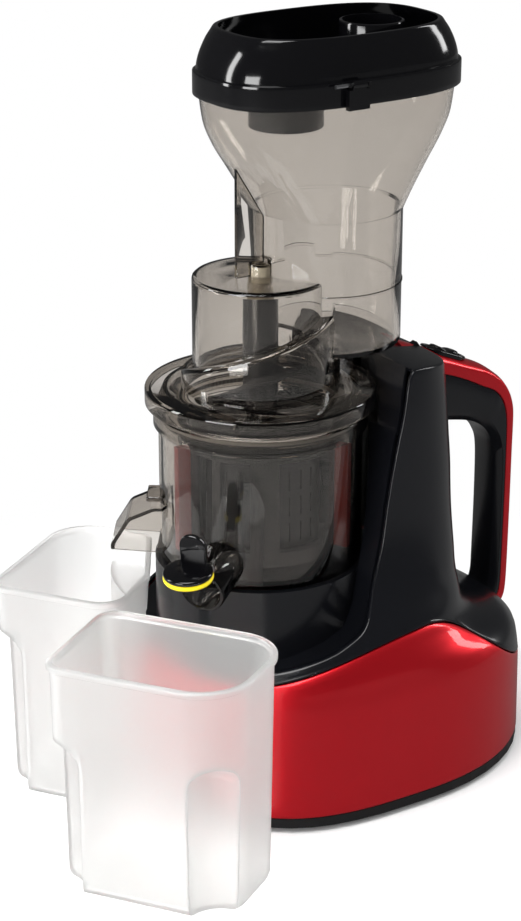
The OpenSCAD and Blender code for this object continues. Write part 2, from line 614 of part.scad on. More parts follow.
cap_r = spout_bore_r + 3.2;
cap_z = 5.2;                                  // the cap's disc above its hinge axis
module spout_cap() color(jet) at_axis() at_cap() difference() {
    union() {
        translate([0, -hinge_up, cap_z]) cylinder(r = cap_r, h = 2.8);
        rotate([0, 90, 0]) translate([0, 0, -4.9]) cylinder(r = 2.6, h = 9.8);
        translate([-4.9, -3, 2]) cube([9.8, 3, cap_z]);
        translate([-4.9, -6, cap_z]) cube([9.8, 5, 2.8]);
        translate([-8, -9, 7]) cube([16, 3, 11]);
        translate([0, -6, 18]) rotate([90, 0, 0]) cylinder(r = 8, h = 3);
    }
    translate([-10, 0, 0]) rotate([0, 90, 0]) cylinder(r = 1.5 + run_gap, h = 20);
}
module spout_seal() color([0.98, 0.88, 0.05]) at_axis() at_cap() translate([0, -hinge_up, 0]) {
    disc(spout_bore_r + 2.3, 2.1, 4);
    disc(spout_bore_r - 2.5, 0, cap_z);
}
module cap_pin() color([0.7, 0.7, 0.72]) at_axis() at_cap() rotate([0, 90, 0]) translate([0, 0, -8])
    cylinder(r = 1.5, h = 16);

// ---- strainer, brush and auger -------------------------------------------------------------

screen_z = bowl_floor + 11.5;
screen_top = rim_z - 11;
module strainer_frame() color([0.12, 0.12, 0.13]) at_axis() difference() {
    union() {
        ring(strainer_r + 1, strainer_r - 1.2, screen_z, screen_z + 5);
        ring(strainer_r + 1, strainer_r - 1.2, screen_top - 7, screen_top);
        ring(strainer_r + 6, strainer_r - 1.2, screen_top - 3, screen_top);
        difference() {
            disc(strainer_r, screen_z, screen_z + 3);
            disc(13, 0, 400);
            at_outlet() translate([0, -32, 0]) disc(7, 0, 400);
        }
        difference() {
            ring(strainer_r + 1, strainer_r - 1.2, screen_z + 4, screen_top - 6);
            for (a = [0:45:135]) rotate(a) translate([-60, -14.6, screen_z + 4.5])
                cube([120, 29.2, screen_top - screen_z - 11.5]);
        }
        // legs on the bowl floor, open where the idler gear runs
        difference() {
            ring(17, 14.2, bowl_floor, screen_z + 1);
            translate([-16, 0, 0]) cube([32, 40, screen_z - 0.5]);
        }
    }
}
module strainer_mesh() color([0.72, 0.73, 0.74]) at_axis() difference() {
    ring(strainer_r - 1.2, strainer_r - 1.9, screen_z + 3, screen_top - 1);
    for (a = [0:10:350], z = [screen_z + 8, screen_z + 24, screen_z + 40]) rotate(a)
        translate([strainer_r - 4, -0.4, z]) cube([6, 0.8, 12]);
}
brush_r = strainer_r + 5.5;
brush_top = screen_top - 4;
module brush_frame() color([0.16, 0.16, 0.17]) at_axis() {
    difference() {
        disc(ring_teeth * second_module / 2 + 5, brush_z, brush_z + 7);
        translate([0, 0, brush_z - 1]) linear_extrude(9) rotate(90)
            polygon(gear_points(ring_teeth, second_module, gear_ded * second_module,
                gear_add * second_module, -gear_play * second_module));
    }
    ring(brush_r, ring_teeth * second_module / 2 + 2, brush_z + 7, brush_z + 9.6);
    difference() {
        ring(brush_r, brush_r - 2.4, brush_z + 7, brush_top);
        for (a = [0:60:120]) rotate(a) translate([-70, -17, brush_z + 16])
            cube([140, 34, brush_top - brush_z - 22]);
    }
}
module wiper_strips() color([0.60, 0.10, 0.08]) at_axis() difference() {
    for (a = [30:120:270]) rotate(a) translate([brush_r - 2, -2.2, brush_z + 11])
        cube([bowl_in - brush_r + 1.1, 4.4, brush_top - brush_z - 13]);
    disc(brush_r, 0, rim_z);
}

auger_r = strainer_r - 3.4;
auger_z = screen_z + 3.6;
wing_h = flange_z1 + ramp_low - clear_wall - 1.5 - screen_top - 6;  // the wide wing stops under the ramp
module auger_hub() color([0.10, 0.10, 0.11]) at_axis() difference() {
    union() {
        disc(9.9, brush_z + 0.6, auger_z + 2);
        translate([0, 0, auger_z]) cylinder(r1 = 27, r2 = 13, h = screen_top - auger_z);
        disc(10.5, screen_top - 1, chamber_top - 13);
        translate([0, 0, auger_z]) linear_extrude(screen_top - auger_z + 6, twist = -560, slices = 44)
            polygon([[0, -3.4], [auger_r, -2], [auger_r, 2], [0, 3.4]]);
        translate([0, 0, screen_top + 6]) rotate(560) {
            linear_extrude(wing_h, twist = -110, slices = 10)
                polygon([[0, -2.6], [auger_r, -1.5], [auger_r, 1.5], [0, 2.6]]);
            linear_extrude(wing_h + 13, twist = -160, slices = 14)
                polygon([[0, -2.6], [small_r - 4, -1.5], [small_r - 4, 1.5], [0, 2.6]]);
        }
    }
    translate([0, 0, brush_z]) cylinder(r = 8.4, h = seat_z + 38 - brush_z, $fn = 6);
    disc(4, chamber_top - 26, chamber_top);
}
module auger_gear() color([0.85, 0.85, 0.82]) at_axis() translate([0, 0, brush_z + 0.6])
    gear(auger_teeth, second_module, 6, 9.9, turn = 90 + 180 / auger_teeth);
module hex_socket() color([0.8, 0.8, 0.82]) at_axis() difference() {
    translate([0, 0, brush_z + 1]) cylinder(r = 8.4, h = seat_z + 37 - brush_z, $fn = 6);
    translate([0, 0, brush_z]) cylinder(r = hex_r + 0.12, h = seat_z + 34 - brush_z, $fn = 6);
}
module auger_pin() color([0.82, 0.82, 0.84]) at_axis() disc(4, chamber_top - 26, chamber_top + 3);

// ---- drum ----------------------------------------------------------------------------------

// Hopper ovals, from the round tube to the long open top: [height above the neck, half w, half l, p].
hopper_shape = [[0, tube_r, tube_r, 2], [10, tube_r + 0.4, tube_r + 6, 2.1],
    [26, tube_r + 1, tube_r + 16, 2.3], [40, tube_r + 1.6, tube_r + 24.5, 2.5],
    [53, tube_r + 2.2, tube_r + 29.5, 2.7],
    [hopper_top - neck_z, tray_half_w - 3.3, tray_half_l - 3.3, 2.8]];
neck_step = 0.4;                              // the hopper's foot stands proud of the tube by this
hopper = [for (h = hopper_shape) [neck_z + h[0], h[1] + neck_step, tube_y - h[2] - neck_step,
    tube_y + h[2] + neck_step, h[3], h[3]]];
split_z = neck_z - 18;                        // where the hopper stands on the drum's feed tube
boss_r = 7.5;
bush_r = 5.6;

// Space above the low chamber's ramp, which climbs in steps round to the feed tube; lift moves it
// up, and lag turns each riser so that the inner ramp leaves a wall.
module ramp_air(lift, lag) {
    turn = 180 / ramp_steps;
    for (i = [1:ramp_steps]) rotate(ramp_start + turn * (i - 1)) sector(turn + lag,
        flange_z1 + ramp_low + ramp_rise * i / ramp_steps + lift);
    rotate(ramp_start + 180 - lag) sector(180 + 2 * lag, flange_z1 + ramp_low + lift);
}
module sector(angle, z0) translate([0, 0, z0]) linear_extrude(100)
    polygon(concat([[0, 0]], [for (k = [0:4]) 100 * [cos(angle * k / 4), sin(angle * k / 4)]]));

module hopper_drum() color(smoke) at_axis() difference() {
    union() {
        ring(flange_r, bowl_rim_r + 0.5, flange_z0, flange_z1 - 3);
        disc(flange_r, flange_z1 - 3, flange_z1);
        disc(bowl_in - 0.7, flange_z0 - 9, flange_z1);
        difference() {
            disc(chamber_r, flange_z1 - 1, flange_z1 + ramp_low + ramp_rise + 1);
            ramp_air(0, 0.3);
        }
        disc(small_r, flange_z1, chamber_top);
        translate([0, tube_y, 0]) disc(tube_r, tube_z0, split_z);
        disc(boss_r, chamber_top - 2, chamber_top + 7);
        translate([-1.3, -17, chamber_top - 1]) cube([2.6, 20, split_z + 1 - chamber_top]);
    }
    difference() {
        union() {
            disc(small_r - clear_wall, flange_z0 - 12, chamber_top - clear_wall);
            difference() {
                disc(chamber_r - clear_wall, flange_z0 - 12, flange_z1 + ramp_low + ramp_rise);
                ramp_air(-clear_wall, 3.8);
            }
            disc(bowl_in - 0.7 - clear_wall, flange_z0 - 12, flange_z1 - 3);
        }
        // the boss hangs into the chamber
        disc(boss_r, chamber_top - 12, chamber_top + 7);
    }
    translate([0, tube_y, 0]) difference() {
        disc(tube_r - clear_wall, tube_z0 + clear_wall, split_z + 1);
        translate([0, -tube_y, 0]) disc(boss_r, chamber_top - 12, chamber_top + 7);
    }
    disc(bush_r, chamber_top - 13, chamber_top + 5);
}
module feed_hopper() color(smoke) at_axis() difference() {
    union() {
        translate([0, tube_y, 0]) disc(tube_r, split_z, neck_z + 1);
        loft(hopper);
        translate([-1.3, -17, split_z]) cube([2.6, 20, neck_z + 18 - split_z]);
    }
    translate([0, tube_y, 0]) disc(tube_r - clear_wall, split_z - 1, neck_z + 1);
    loft(stretched(hopper, -1, 1), clear_wall);
}
module drum_bushing() color([0.75, 0.74, 0.70]) at_axis()
    ring(bush_r, 4 + run_gap, chamber_top - 11, chamber_top + 5);
module drum_seal() color([0.55, 0.55, 0.56, 0.8]) at_axis()
    ring(bowl_in - 0.25, bowl_in - 0.7, flange_z0 - 7, flange_z0 - 4.5);

// ---- tray ----------------------------------------------------------------------------------

// Tray ovals: [height, change of half width, change of half length].
tray_shape = [[0, 0, 0], [14.5, 0, 0], [14.6, -1.4, -1.8], [23, -2.2, -4], [31, -3.6, -8],
    [tray_h, -5.6, -13]];
tray = [for (t = tray_shape) [tray_z0 + t[0], tray_half_w + t[1], tube_y - tray_half_l - t[2],
    tube_y + tray_half_l + t[2], 2.8, 2.8]];
tray_floor = tray_z0 + 5.6;
tray_wall = 2.6;
tray_room = concat([[tray_floor + tray_wall, tray_half_w, tube_y - tray_half_l, tube_y + tray_half_l,
    2.8, 2.8]], [for (t = tray) if (t[0] > tray_z0 + 14.55) t]);
collar_y = 17;
collar_r = 21.5;
small_tube_y = 76;
small_tube_r = 19;

latch_y = 30;
latch_pin_h = 13.2;
latch_pin_r = 1.2;
module at_latch() translate([tray_half_w + 3, latch_y, tray_z0]) children();

module feed_tray() color(jet) at_axis() difference() {
    union() {
        difference() {
            loft(tray);
            loft(stretched(tray_room, 0, 1), tray_wall);
            translate([0, 0, tray_z0 - 1]) linear_extrude(tray_floor - tray_z0 + 1)
                polygon(oval(tray_half_w - tray_wall, tube_y - tray_half_l + tray_wall,
                    tube_y + tray_half_l - tray_wall, 2.8, 2.8));
        }
        translate([0, collar_y, 0]) disc(collar_r, tray_floor - 24, tray_floor + 1);
        translate([0, small_tube_y, 0]) disc(small_tube_r, tray_floor, tray_top - 2);
        at_latch() for (y = [-7.6, 5.4]) translate([-5, y, latch_pin_h - 1.3]) cube([6.8, 2.2, 2.6]);
    }
    at_latch() at_latch_pin() cylinder(r = latch_pin_r, h = 40, center = true);
    translate([0, collar_y, 0]) disc(collar_r - 1.8, tray_floor - 30, tray_top);
    translate([0, small_tube_y, 0]) disc(small_tube_r - 1.8, tray_floor - 30, tray_top + 5);
}
module tray_latch() color(jet) at_axis() at_latch() difference() {
    union() {
        translate([-2.2, -7, -1]) cube([3.4, 14, latch_pin_h - 1.8]);
        at_latch_pin() cylinder(r = 2.3, h = 9.2, center = true);
        translate([-2.2, -4.6, latch_pin_h - 3]) cube([3.4, 9.2, 3]);
    }
    at_latch_pin() cylinder(r = latch_pin_r + run_gap, h = 24, center = true);
}
// Frame on the latch's hinge line, in the latch's own place.
module at_latch_pin() translate([0, 0, latch_pin_h]) rotate([90, 0, 0]) children();

module latch_pin() color([0.2, 0.2, 0.21]) at_axis() at_latch() at_latch_pin()
    translate([0, 0, -7.6]) cylinder(r = latch_pin_r, h = 23);

// ---- cups ----------------------------------------------------------------------------------

// Corners [x, y, radius]; -y points away from the body along the cup's own outlet.
cup_w = 114;
cup_d = 193 - juice_cup_back;
juice_plan = [[-49, -juice_cup_back, 12], [cup_w - 49, -juice_cup_back, 26],
    [cup_w - 54, -juice_cup_back - cup_d, 30], [-50, -juice_cup_back - cup_d, 11]];
flute_r = 19;
flute_h = 94;
lip = 1.6;
module at_cups() rotate(35) children();
module flutes(grow, z1) for (x = [-49, cup_w - 60]) translate([x, -juice_cup_back - cup_d + 1, -1])
    cylinder(r = flute_r + grow, h = z1 + 1);
module juice_cup() color(frost) at_axis() at_cups() difference() {
    union() {
        difference() {
            linear_extrude(juice_cup_h) polygon(rounded(juice_plan));
            flutes(0, flute_h);
        }
        translate([0, 0, juice_cup_h - 4]) linear_extrude(4) polygon(rounded(juice_plan, -lip));
    }
    difference() {
        translate([0, 0, 2.4]) linear_extrude(juice_cup_h) polygon(rounded(juice_plan, cup_wall));
        flutes(cup_wall, flute_h + cup_wall);
    }
}
pulp_near = pedestal_r + 4;
pulp_plan = [[-131, -101, 11], [-131, 3, 25], [-7.5 - pulp_near, 3, 8], [16.5 - pulp_near, -53, 8],
    [-49, -101, 16]];
step_h = seat_z - 26;
// Room for the body inside the pulp cup's lower part.
module body_room(grow, z1) rotate(-35) linear_extrude(z1)
    polygon(oval(body_half_w + grow, -body_front - grow, body_back + grow, 3, 2.2));
module pulp_cup() color(frost) at_axis() at_cups() difference() {
    union() {
        difference() {
            linear_extrude(pulp_cup_h) polygon(rounded(pulp_plan));
            translate([0, 0, -1]) body_room(2.5, step_h + 1);
        }
        translate([0, 0, pulp_cup_h - 4]) linear_extrude(4) polygon(rounded(pulp_plan, -lip));
    }
    difference() {
        translate([0, 0, 2.4]) linear_extrude(pulp_cup_h) polygon(rounded(pulp_plan, cup_wall));
        body_room(2.5 + cup_wall, step_h + cup_wall);
    }
}

// Middle of the footprint, from the extreme points of the cups, the body and the handle.
function turned(points, a) = [for (p = points)
    [p[0] * cos(a) - p[1] * sin(a), p[0] * sin(a) + p[1] * cos(a)]];
cup_points = concat(turned(rounded(juice_plan, -lip), 35), turned(rounded(pulp_plan, -lip), 35));
x_high = max(concat([for (p = cup_points) p[0]], [body_half_w]));
x_low = min(concat([for (p = cup_points) p[0]], [-body_half_w]));
y_low = min([for (p = cup_points) p[1]]);
axis_x = -(x_high + x_low) / 2;
axis_y = -(handle_back + y_low) / 2;

base_plate();
rubber_feet();
base_screws();
lower_shell();
cord_bushing();
upper_housing();
handle_core();
handle_trim();
switch_bezel();
switch_rocker();
switch_block();
control_board();
board_parts();
safety_switch();
stator_core();
stator_windings();
motor_bracket();
rotor_core();
motor_shaft();
cooling_fan();
motor_bearings();
gearbox_floor();
gearbox_cover();
gearbox_screws();
motor_pinion();
first_gear();
second_pinion();
layshaft();
output_gear();
drive_shaft();
shaft_bearings();
shaft_seal();
juice_bowl();
juice_spout();
pulp_chute();
bowl_seal();
residue_plug();
idler_pin();
brush_idler();
spout_cap();
spout_seal();
cap_pin();
strainer_frame();
strainer_mesh();
brush_frame();
wiper_strips();
auger_hub();
auger_gear();
hex_socket();
auger_pin();
hopper_drum();
feed_hopper();
drum_bushing();
drum_seal();
feed_tray();
tray_latch();
latch_pin();
juice_cup();
pulp_cup();
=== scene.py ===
# %% [markdown]
# # A slow juicer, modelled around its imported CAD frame
# The CAD frame holds every part of the juicer at its real size. This lesson gives it its looks:
# smooth surfaces worked out with numpy, and procedural materials with their scale in millimetres.

# %% Load the frame
import json
import math
import bmesh
import bpy
import numpy as np
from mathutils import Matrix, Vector


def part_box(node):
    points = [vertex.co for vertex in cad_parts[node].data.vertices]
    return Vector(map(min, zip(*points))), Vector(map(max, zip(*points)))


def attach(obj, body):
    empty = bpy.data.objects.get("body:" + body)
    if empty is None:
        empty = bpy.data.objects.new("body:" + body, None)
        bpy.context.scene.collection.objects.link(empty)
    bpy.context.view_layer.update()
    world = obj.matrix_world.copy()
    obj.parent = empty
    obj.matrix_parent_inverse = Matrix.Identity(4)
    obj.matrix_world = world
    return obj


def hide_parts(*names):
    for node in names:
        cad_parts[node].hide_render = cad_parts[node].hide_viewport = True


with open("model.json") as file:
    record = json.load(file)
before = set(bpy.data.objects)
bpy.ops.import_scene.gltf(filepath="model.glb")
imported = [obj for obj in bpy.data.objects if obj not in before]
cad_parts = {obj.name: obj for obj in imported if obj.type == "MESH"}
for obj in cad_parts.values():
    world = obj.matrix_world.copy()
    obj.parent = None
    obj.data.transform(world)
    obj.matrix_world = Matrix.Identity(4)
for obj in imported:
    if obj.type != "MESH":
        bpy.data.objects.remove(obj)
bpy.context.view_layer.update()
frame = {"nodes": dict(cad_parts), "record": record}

# %% [markdown]
# ## Places and sizes
# Everything is drawn in millimetres about the bowl's axis, which is where the auger's pin stands,
# and one function carries the points to metres in the frame. The few heights that many pieces
# share are named once, so that a change to one carries to all that sits on it.

# %% Shared places
low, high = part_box("auger_pin")
AXIS = np.array([(low.x + high.x) / 2, (low.y + high.y) / 2, 0.0])
SEAT = 139.0                    # the bowl stands here
FLANGE = 246.0                  # top of the drum's flange
TRAY = 416.6                    # underside of the tray's band
TUBE_Y = 46.0                   # the feed tube stands this far behind the bowl's axis
OUTLET = math.radians(35)       # each spout points this far to one side of the front
WALL = 2.6                      # thickness of the clear mouldings


def metres(points):
    """Points in millimetres about the bowl's axis, turned to metres in the frame."""
    return np.asarray(points, float).reshape(-1, 3) / 1000 + AXIS


print("bowl axis at", AXIS.round(5), "in the frame")

# %% [markdown]
# ## Turning grids of points into meshes
# Mouldings could be modelled by hand, by pulling at boxes with a subdivision surface on them. Here
# a surface is a function of two parameters, because then a size is a number and not a habit of the
# hand. It is kept as rows of points: one row per step along the shape, one column per step around
# it. Neighbouring rows are joined by quads. Rows that close on themselves wrap round, and the two
# ends may be closed with a single face.


# %% Faces of a grid
def grid_faces(rows, cols, wrap, start=0):
    """Quads between neighbouring rows of rows x cols points.

    Point (r, c) has the number start + r * cols + c. wrap joins the last column to the first.
    """
    r = np.arange(rows - 1)[:, None]
    c = np.arange(cols if wrap else cols - 1)[None, :]
    n = (c + 1) % cols
    quads = np.stack([r * cols + c, r * cols + n, (r + 1) * cols + n, (r + 1) * cols + c], -1)
    return (quads.reshape(-1, 4) + start).tolist()


print("3 rows of 4 points that wrap round make", len(grid_faces(3, 4, True)), "quads")


# %% Objects from points
def new_object(name, points, faces, sharp=35.0):
    """A mesh object from millimetre points and faces, smooth but for edges sharper than the angle."""
    mesh = bpy.data.meshes.new(name)
    mesh.from_pydata(metres(points).tolist(), [], faces)
    work = bmesh.new()
    work.from_mesh(mesh)
    bmesh.ops.remove_doubles(work, verts=work.verts, dist=2e-6)
    bmesh.ops.recalc_face_normals(work, faces=work.faces)
    work.to_mesh(mesh)
    work.free()
    obj = bpy.data.objects.new(name, mesh)
    bpy.context.scene.collection.objects.link(obj)
    shade(obj, sharp)
    return obj


def shade(obj, sharp):
    """Smooth shading everywhere, with edges over the angle in degrees kept crisp."""
    mesh = obj.data
    mesh.polygons.foreach_set("use_smooth", np.ones(len(mesh.polygons), bool))
    mesh.set_sharp_from_angle(angle=math.radians(sharp))


def tube_of(rings, name="surface", cap=True, sharp=35.0, closed=False):
    """A skin through rings, an array of rows x points x 3.

    cap shuts both ends with a face each, and closed joins the last ring to the first.
    """
    rings = np.asarray(rings, float)
    rows, cols = rings.shape[:2]
    faces = grid_faces(rows, cols, True)
    if closed:
        last = (rows - 1) * cols
        c = np.arange(cols)
        n = (c + 1) % cols
        faces += np.stack([last + c, last + n, n, c], -1).tolist()
    elif cap:
        faces += [list(range(cols))[::-1], list(range((rows - 1) * cols, rows * cols))]
    return new_object(name, rings.reshape(-1, 3), faces, sharp)


# %% [markdown]
# ## Joining and hollowing
# A clear moulding needs real walls, because light bends at each of its surfaces. So a hollow piece
# is made as one closed solid less another, and not as a skin. Blender's manifold solver does this
# fast, and keeps a closed mesh closed.


# %% Solids
def combine(base, tool, how):
    """base joined with, cut by or kept within tool, applied to base's mesh; the tool is removed."""
    step = base.modifiers.new("solid", "BOOLEAN")
    step.operation, step.object, step.solver = how, tool, "MANIFOLD"
    settle(base)
    bpy.data.objects.remove(tool)
    return base


def settle(obj):
    """Applies an object's modifiers to its mesh."""
    bpy.context.view_layer.update()
    made = obj.evaluated_get(bpy.context.evaluated_depsgraph_get())
    result = bpy.data.meshes.new_from_object(made)
    obj.modifiers.clear()
    old, obj.data = obj.data, result
    bpy.data.meshes.remove(old)
    return obj


def solid(name, adds, cuts=(), sharp=35.0):
    """One mesh from the solids in adds less the solids in cuts."""
    base = adds[0]
    for other in adds[1:]:
        combine(base, other, "UNION")
    for other in cuts:
        combine(base, other, "DIFFERENCE")
    base.name = base.data.name = name
    shade(base, sharp)
    print(name, len(base.data.polygons), "faces")
    return base


def thicken(obj, wall_mm):
    """Gives an open shell its wall, on the inside."""
    wall = obj.modifiers.new("wall", "SOLIDIFY")
    wall.thickness, wall.offset = wall_mm / 1000, -1.0
    return settle(obj)


# %% [markdown]
# ## Outlines
# Moulded parts are drawn from a few kinds of outline. A turned part needs the profile of one side,
# an oval part needs a superellipse, and a cup needs straight sides with rounded corners. Each
# returns points at even spacing, so that the rings of one surface line up with each other.


# %% Steps and spacing
def smooth(t):
    """The S curve 3t^2 - 2t^3, held at 0 and 1 outside its range."""
    t = np.clip(t, 0, 1)
    return t * t * (3 - 2 * t)


def turn(count, start=0.0, end=2 * math.pi, closed=True):
    """Evenly spaced angles; a full turn leaves out the last one."""
    return np.linspace(start, end, count, endpoint=not closed)


def even(outline, count):
    """A closed outline resampled to points at equal distances along it."""
    ring = np.vstack([outline, outline[:1]])
    run = np.concatenate([[0], np.cumsum(np.linalg.norm(np.diff(ring, axis=0), axis=1))])
    at = np.linspace(0, run[-1], count, endpoint=False)
    return np.stack([np.interp(at, run, ring[:, k]) for k in range(ring.shape[1])], 1)


FINE = 1440             # steps round an outline before it is resampled
print("smooth climbs through", smooth(np.linspace(0, 1, 5)).round(2))


# %% Ovals and lofts
def oval(half, front, rear, p_front=2.0, p_rear=2.0, count=128):
    """Superellipse |x/a|^p + |y/b|^p = 1 between y = front and y = rear, with a power for each end."""
    t = turn(FINE)
    c, s = np.cos(t), np.sin(t)
    p = np.where(s < 0, p_front, p_rear)
    x = half * np.sign(c) * np.abs(c) ** (2 / p)
    y = (front + rear) / 2 + (rear - front) / 2 * np.sign(s) * np.abs(s) ** (2 / p)
    return even(np.stack([x, y], 1), count)


def blend_levels(levels, z):
    """Rows [z, values...] interpolated at heights z, with a cubic that never overshoots a value.

    The slope at a row is the harmonic mean of the slopes on its two sides, and 0 where they turn.
    """
    rows = np.asarray(levels, float)
    h = np.diff(rows[:, 0])
    d = np.diff(rows[:, 1:], axis=0) / h[:, None]
    flat = d[:-1] * d[1:] <= 0
    w = np.where(flat, 0, 2 * d[:-1] * d[1:] / np.where(flat, 1, d[:-1] + d[1:]))
    slope = np.vstack([d[:1], w, d[-1:]])
    k = np.clip(np.searchsorted(rows[:, 0], z, "right") - 1, 0, len(h) - 1)
    t = ((z - rows[k, 0]) / h[k])[:, None]
    a, b = rows[k, 1:], rows[k + 1, 1:]
    m, n = slope[k] * h[k][:, None], slope[k + 1] * h[k][:, None]
    return ((2 * t**3 - 3 * t**2 + 1) * a + (t**3 - 2 * t**2 + t) * m
            + (3 * t**2 - 2 * t**3) * b + (t**3 - t**2) * n)


def lofted(levels, z, inset=0.0, count=128):
    """Rings of ovals [z, half, front, rear, p_front, p_rear] at heights z, drawn in by inset."""
    values = blend_levels(levels, np.asarray(z, float))
    rings = [oval(v[0] - inset, v[1] + inset, v[2] - inset, v[3], v[4], count) for v in values]
    return np.stack([np.column_stack([r, np.full(count, h)]) for r, h in zip(rings, z)])


print("an oval 20 wide and 30 long has", len(oval(10, 0, 30)), "points")


# %% Round sections and rounded corners
def turned(profile, count=96, centre=(0.0, 0.0), closed=True, place=lambda p: p):
    """[radius, height] points carried round the upright line through centre, then moved by place.

    A closed profile makes a ring, and an open one a solid with a flat face at each end.
    """
    a = turn(count)
    p = np.asarray(profile, float)
    x = centre[0] + p[:, 0, None] * np.cos(a)
    y = centre[1] + p[:, 0, None] * np.sin(a)
    rings = np.stack([x, y, np.broadcast_to(p[:, 1, None], x.shape)], -1)
    return tube_of(place(rings), "turned", closed=closed)


def rounded(corners, inset=0.0, steps=10):
    """Outline with each corner [x, y, radius] replaced by an arc, moved inward by inset.

    The arc's centre lies on the corner's bisector, radius / sin(half the corner's angle) away.
    """
    c = np.asarray(corners, float)
    out = []
    for before, here, after in zip(np.roll(c, 1, 0), c, np.roll(c, -1, 0)):
        u = (before - here)[:2] / np.linalg.norm((before - here)[:2])
        v = (after - here)[:2] / np.linalg.norm((after - here)[:2])
        half = math.acos(np.clip(u @ v, -1, 1)) / 2
        w = (u + v) / np.linalg.norm(u + v)
        r = max(here[2] - inset, 0.5)
        mid = here[:2] + w * (inset / math.sin(half) + r / math.sin(half))
        corner = here[:2] + w * inset / math.sin(half)
        s = corner + u * r / math.tan(half) - mid
        e = corner + v * r / math.tan(half) - mid
        a0 = math.atan2(s[1], s[0])
        sweep = (math.atan2(e[1], e[0]) - a0 + 3 * math.pi) % (2 * math.pi) - math.pi
        t = a0 + sweep * np.linspace(0, 1, steps)
        out.append(mid + r * np.stack([np.cos(t), np.sin(t)], 1))
    return np.vstack(out)


def spun(points, angle):
    """Points turned about the upright bowl axis."""
    p = np.array(points, float)
    c, s = math.cos(angle), math.sin(angle)
    p[..., 0], p[..., 1] = p[..., 0] * c - p[..., 1] * s, p[..., 0] * s + p[..., 1] * c
    return p


def side_slab(outline, half, angle=0.0):
    """A prism on an outline of [y, z] points, from x = -half to x = half, turned about the axis."""
    o = np.asarray(outline, float)
    rings = np.stack([np.column_stack([np.full(len(o), x), o]) for x in (-half, half)])
    return tube_of(spun(rings, angle), "side_slab")


square = rounded([[0, 0, 2], [10, 0, 2], [10, 10, 2], [0, 10, 2]])
print("a square with rounded corners has", len(square), "points")

# %% [markdown]
# ## Materials
# Each finish starts from the real material: how it is coloured, how it was formed, and how fine
# its texture is. Colours are written as sRGB hex values. Patterns run on object coordinates,
# which are metres here, so a pattern that repeats every n millimetres has a scale of 1000 / n.


# %% Colours and nodes
def linear(code):
    """An sRGB hex colour as linear RGBA: c/12.92 below 0.04045, else ((c + 0.055)/1.055)^2.4."""
    c = np.array([int(code[i:i + 2], 16) for i in (1, 3, 5)]) / 255
    return tuple(np.where(c <= 0.04045, c / 12.92, ((c + 0.055) / 1.055) ** 2.4)) + (1.0,)


def add(tree, kind, settings=None, inputs=None, links=None):
    """Adds one node: settings are its properties, inputs its sockets' values, links what feeds them."""
    n = tree.nodes.new(kind)
    for key, value in (settings or {}).items():
        setattr(n, key, value)
    for key, value in (inputs or {}).items():
        n.inputs[key].default_value = value
    for key, source in (links or {}).items():
        tree.links.new(source, n.inputs[key])
    return n


def per_mm(mm):
    """Texture scale at which one pattern cell is mm millimetres across."""
    return 1000.0 / mm


print("mid grey #808080 is", round(float(linear("#808080")[0]), 3), "in linear light")

# %% A finish
PATCH_MM = 25           # soft patches of colour and roughness
SHADE = 0.8             # the darkest a patch gets


def finish(name, color, roughness, grain_mm=1.0, bump=0.0, mottle=0.0, rough_spread=0.0, **principled):
    """A Principled material with two noises on object coordinates, one in patches and one as its grain.

    color is a hex value, mottle how far the patches take it towards SHADE of it, rough_spread the
    plus and minus on roughness, and bump the grain's height in millimetres.
    """
    m = bpy.data.materials.new(name)
    m.use_nodes = True
    t = m.node_tree
    t.nodes.clear()
    out = add(t, "ShaderNodeOutputMaterial")
    shader = add(t, "ShaderNodeBsdfPrincipled",
                 inputs={"Roughness": roughness, "Base Color": linear(color)})
    for key, value in principled.items():
        shader.inputs[key.replace("_", " ")].default_value = value
    t.links.new(shader.outputs[0], out.inputs["Surface"])
    place = add(t, "ShaderNodeTexCoord").outputs["Object"]
    soft = add(t, "ShaderNodeTexNoise", inputs={"Scale": per_mm(PATCH_MM), "Detail": 3.0},
               links={"Vector": place})
    if mottle:
        dark = tuple(SHADE * v for v in linear(color)[:3]) + (1.0,)
        amount = add(t, "ShaderNodeMath", {"operation": "MULTIPLY"}, {1: mottle},
                     {0: soft.outputs["Fac"]})
        mix = add(t, "ShaderNodeMix", {"data_type": "RGBA"}, {"A": linear(color), "B": dark},
                  {"Factor": amount.outputs[0]})
        t.links.new(mix.outputs["Result"], shader.inputs["Base Color"])
    if rough_spread:
        spread = add(t, "ShaderNodeMapRange", links={"Value": soft.outputs["Fac"]},
                     inputs={"To Min": roughness - rough_spread, "To Max": roughness + rough_spread})
        t.links.new(spread.outputs["Result"], shader.inputs["Roughness"])
    if bump:
        fine = add(t, "ShaderNodeTexNoise", inputs={"Scale": per_mm(grain_mm), "Detail": 2.0},
                   links={"Vector": place})
        height = add(t, "ShaderNodeBump", inputs={"Distance": bump / 1000, "Strength": 1.0},
                     links={"Height": fine.outputs["Fac"]})
        t.links.new(height.outputs["Normal"], shader.inputs["Normal"])
    return m


# %% [markdown]
# ### Clear walls
# Smoked plastic is dyed right through, so it darkens with the length of the way that light takes in
# it. A colour on the surface would darken each wall alike; an absorber inside it makes edges and
# slanted walls darker than flat ones, as on the real part. Lamps reach the inside as a plain tint.


# %% Clear walls
def output_of(t):
    """The node that a material ends in."""
    return next(n for n in t.nodes if n.type == "OUTPUT_MATERIAL")


def see_through(m, shade_color):
    """Lets lamp light through: shadow rays pass the material as a tint instead of stopping at it."""
    t = m.node_tree
    out = output_of(t)
    surface = out.inputs["Surface"].links[0].from_socket
    clear = add(t, "ShaderNodeBsdfTransparent", inputs={"Color": linear(shade_color)})
    path = add(t, "ShaderNodeLightPath")
    mix = add(t, "ShaderNodeMixShader",
              links={0: path.outputs["Is Shadow Ray"], 1: surface, 2: clear.outputs[0]})
    t.links.new(mix.outputs[0], out.inputs["Surface"])
    return m


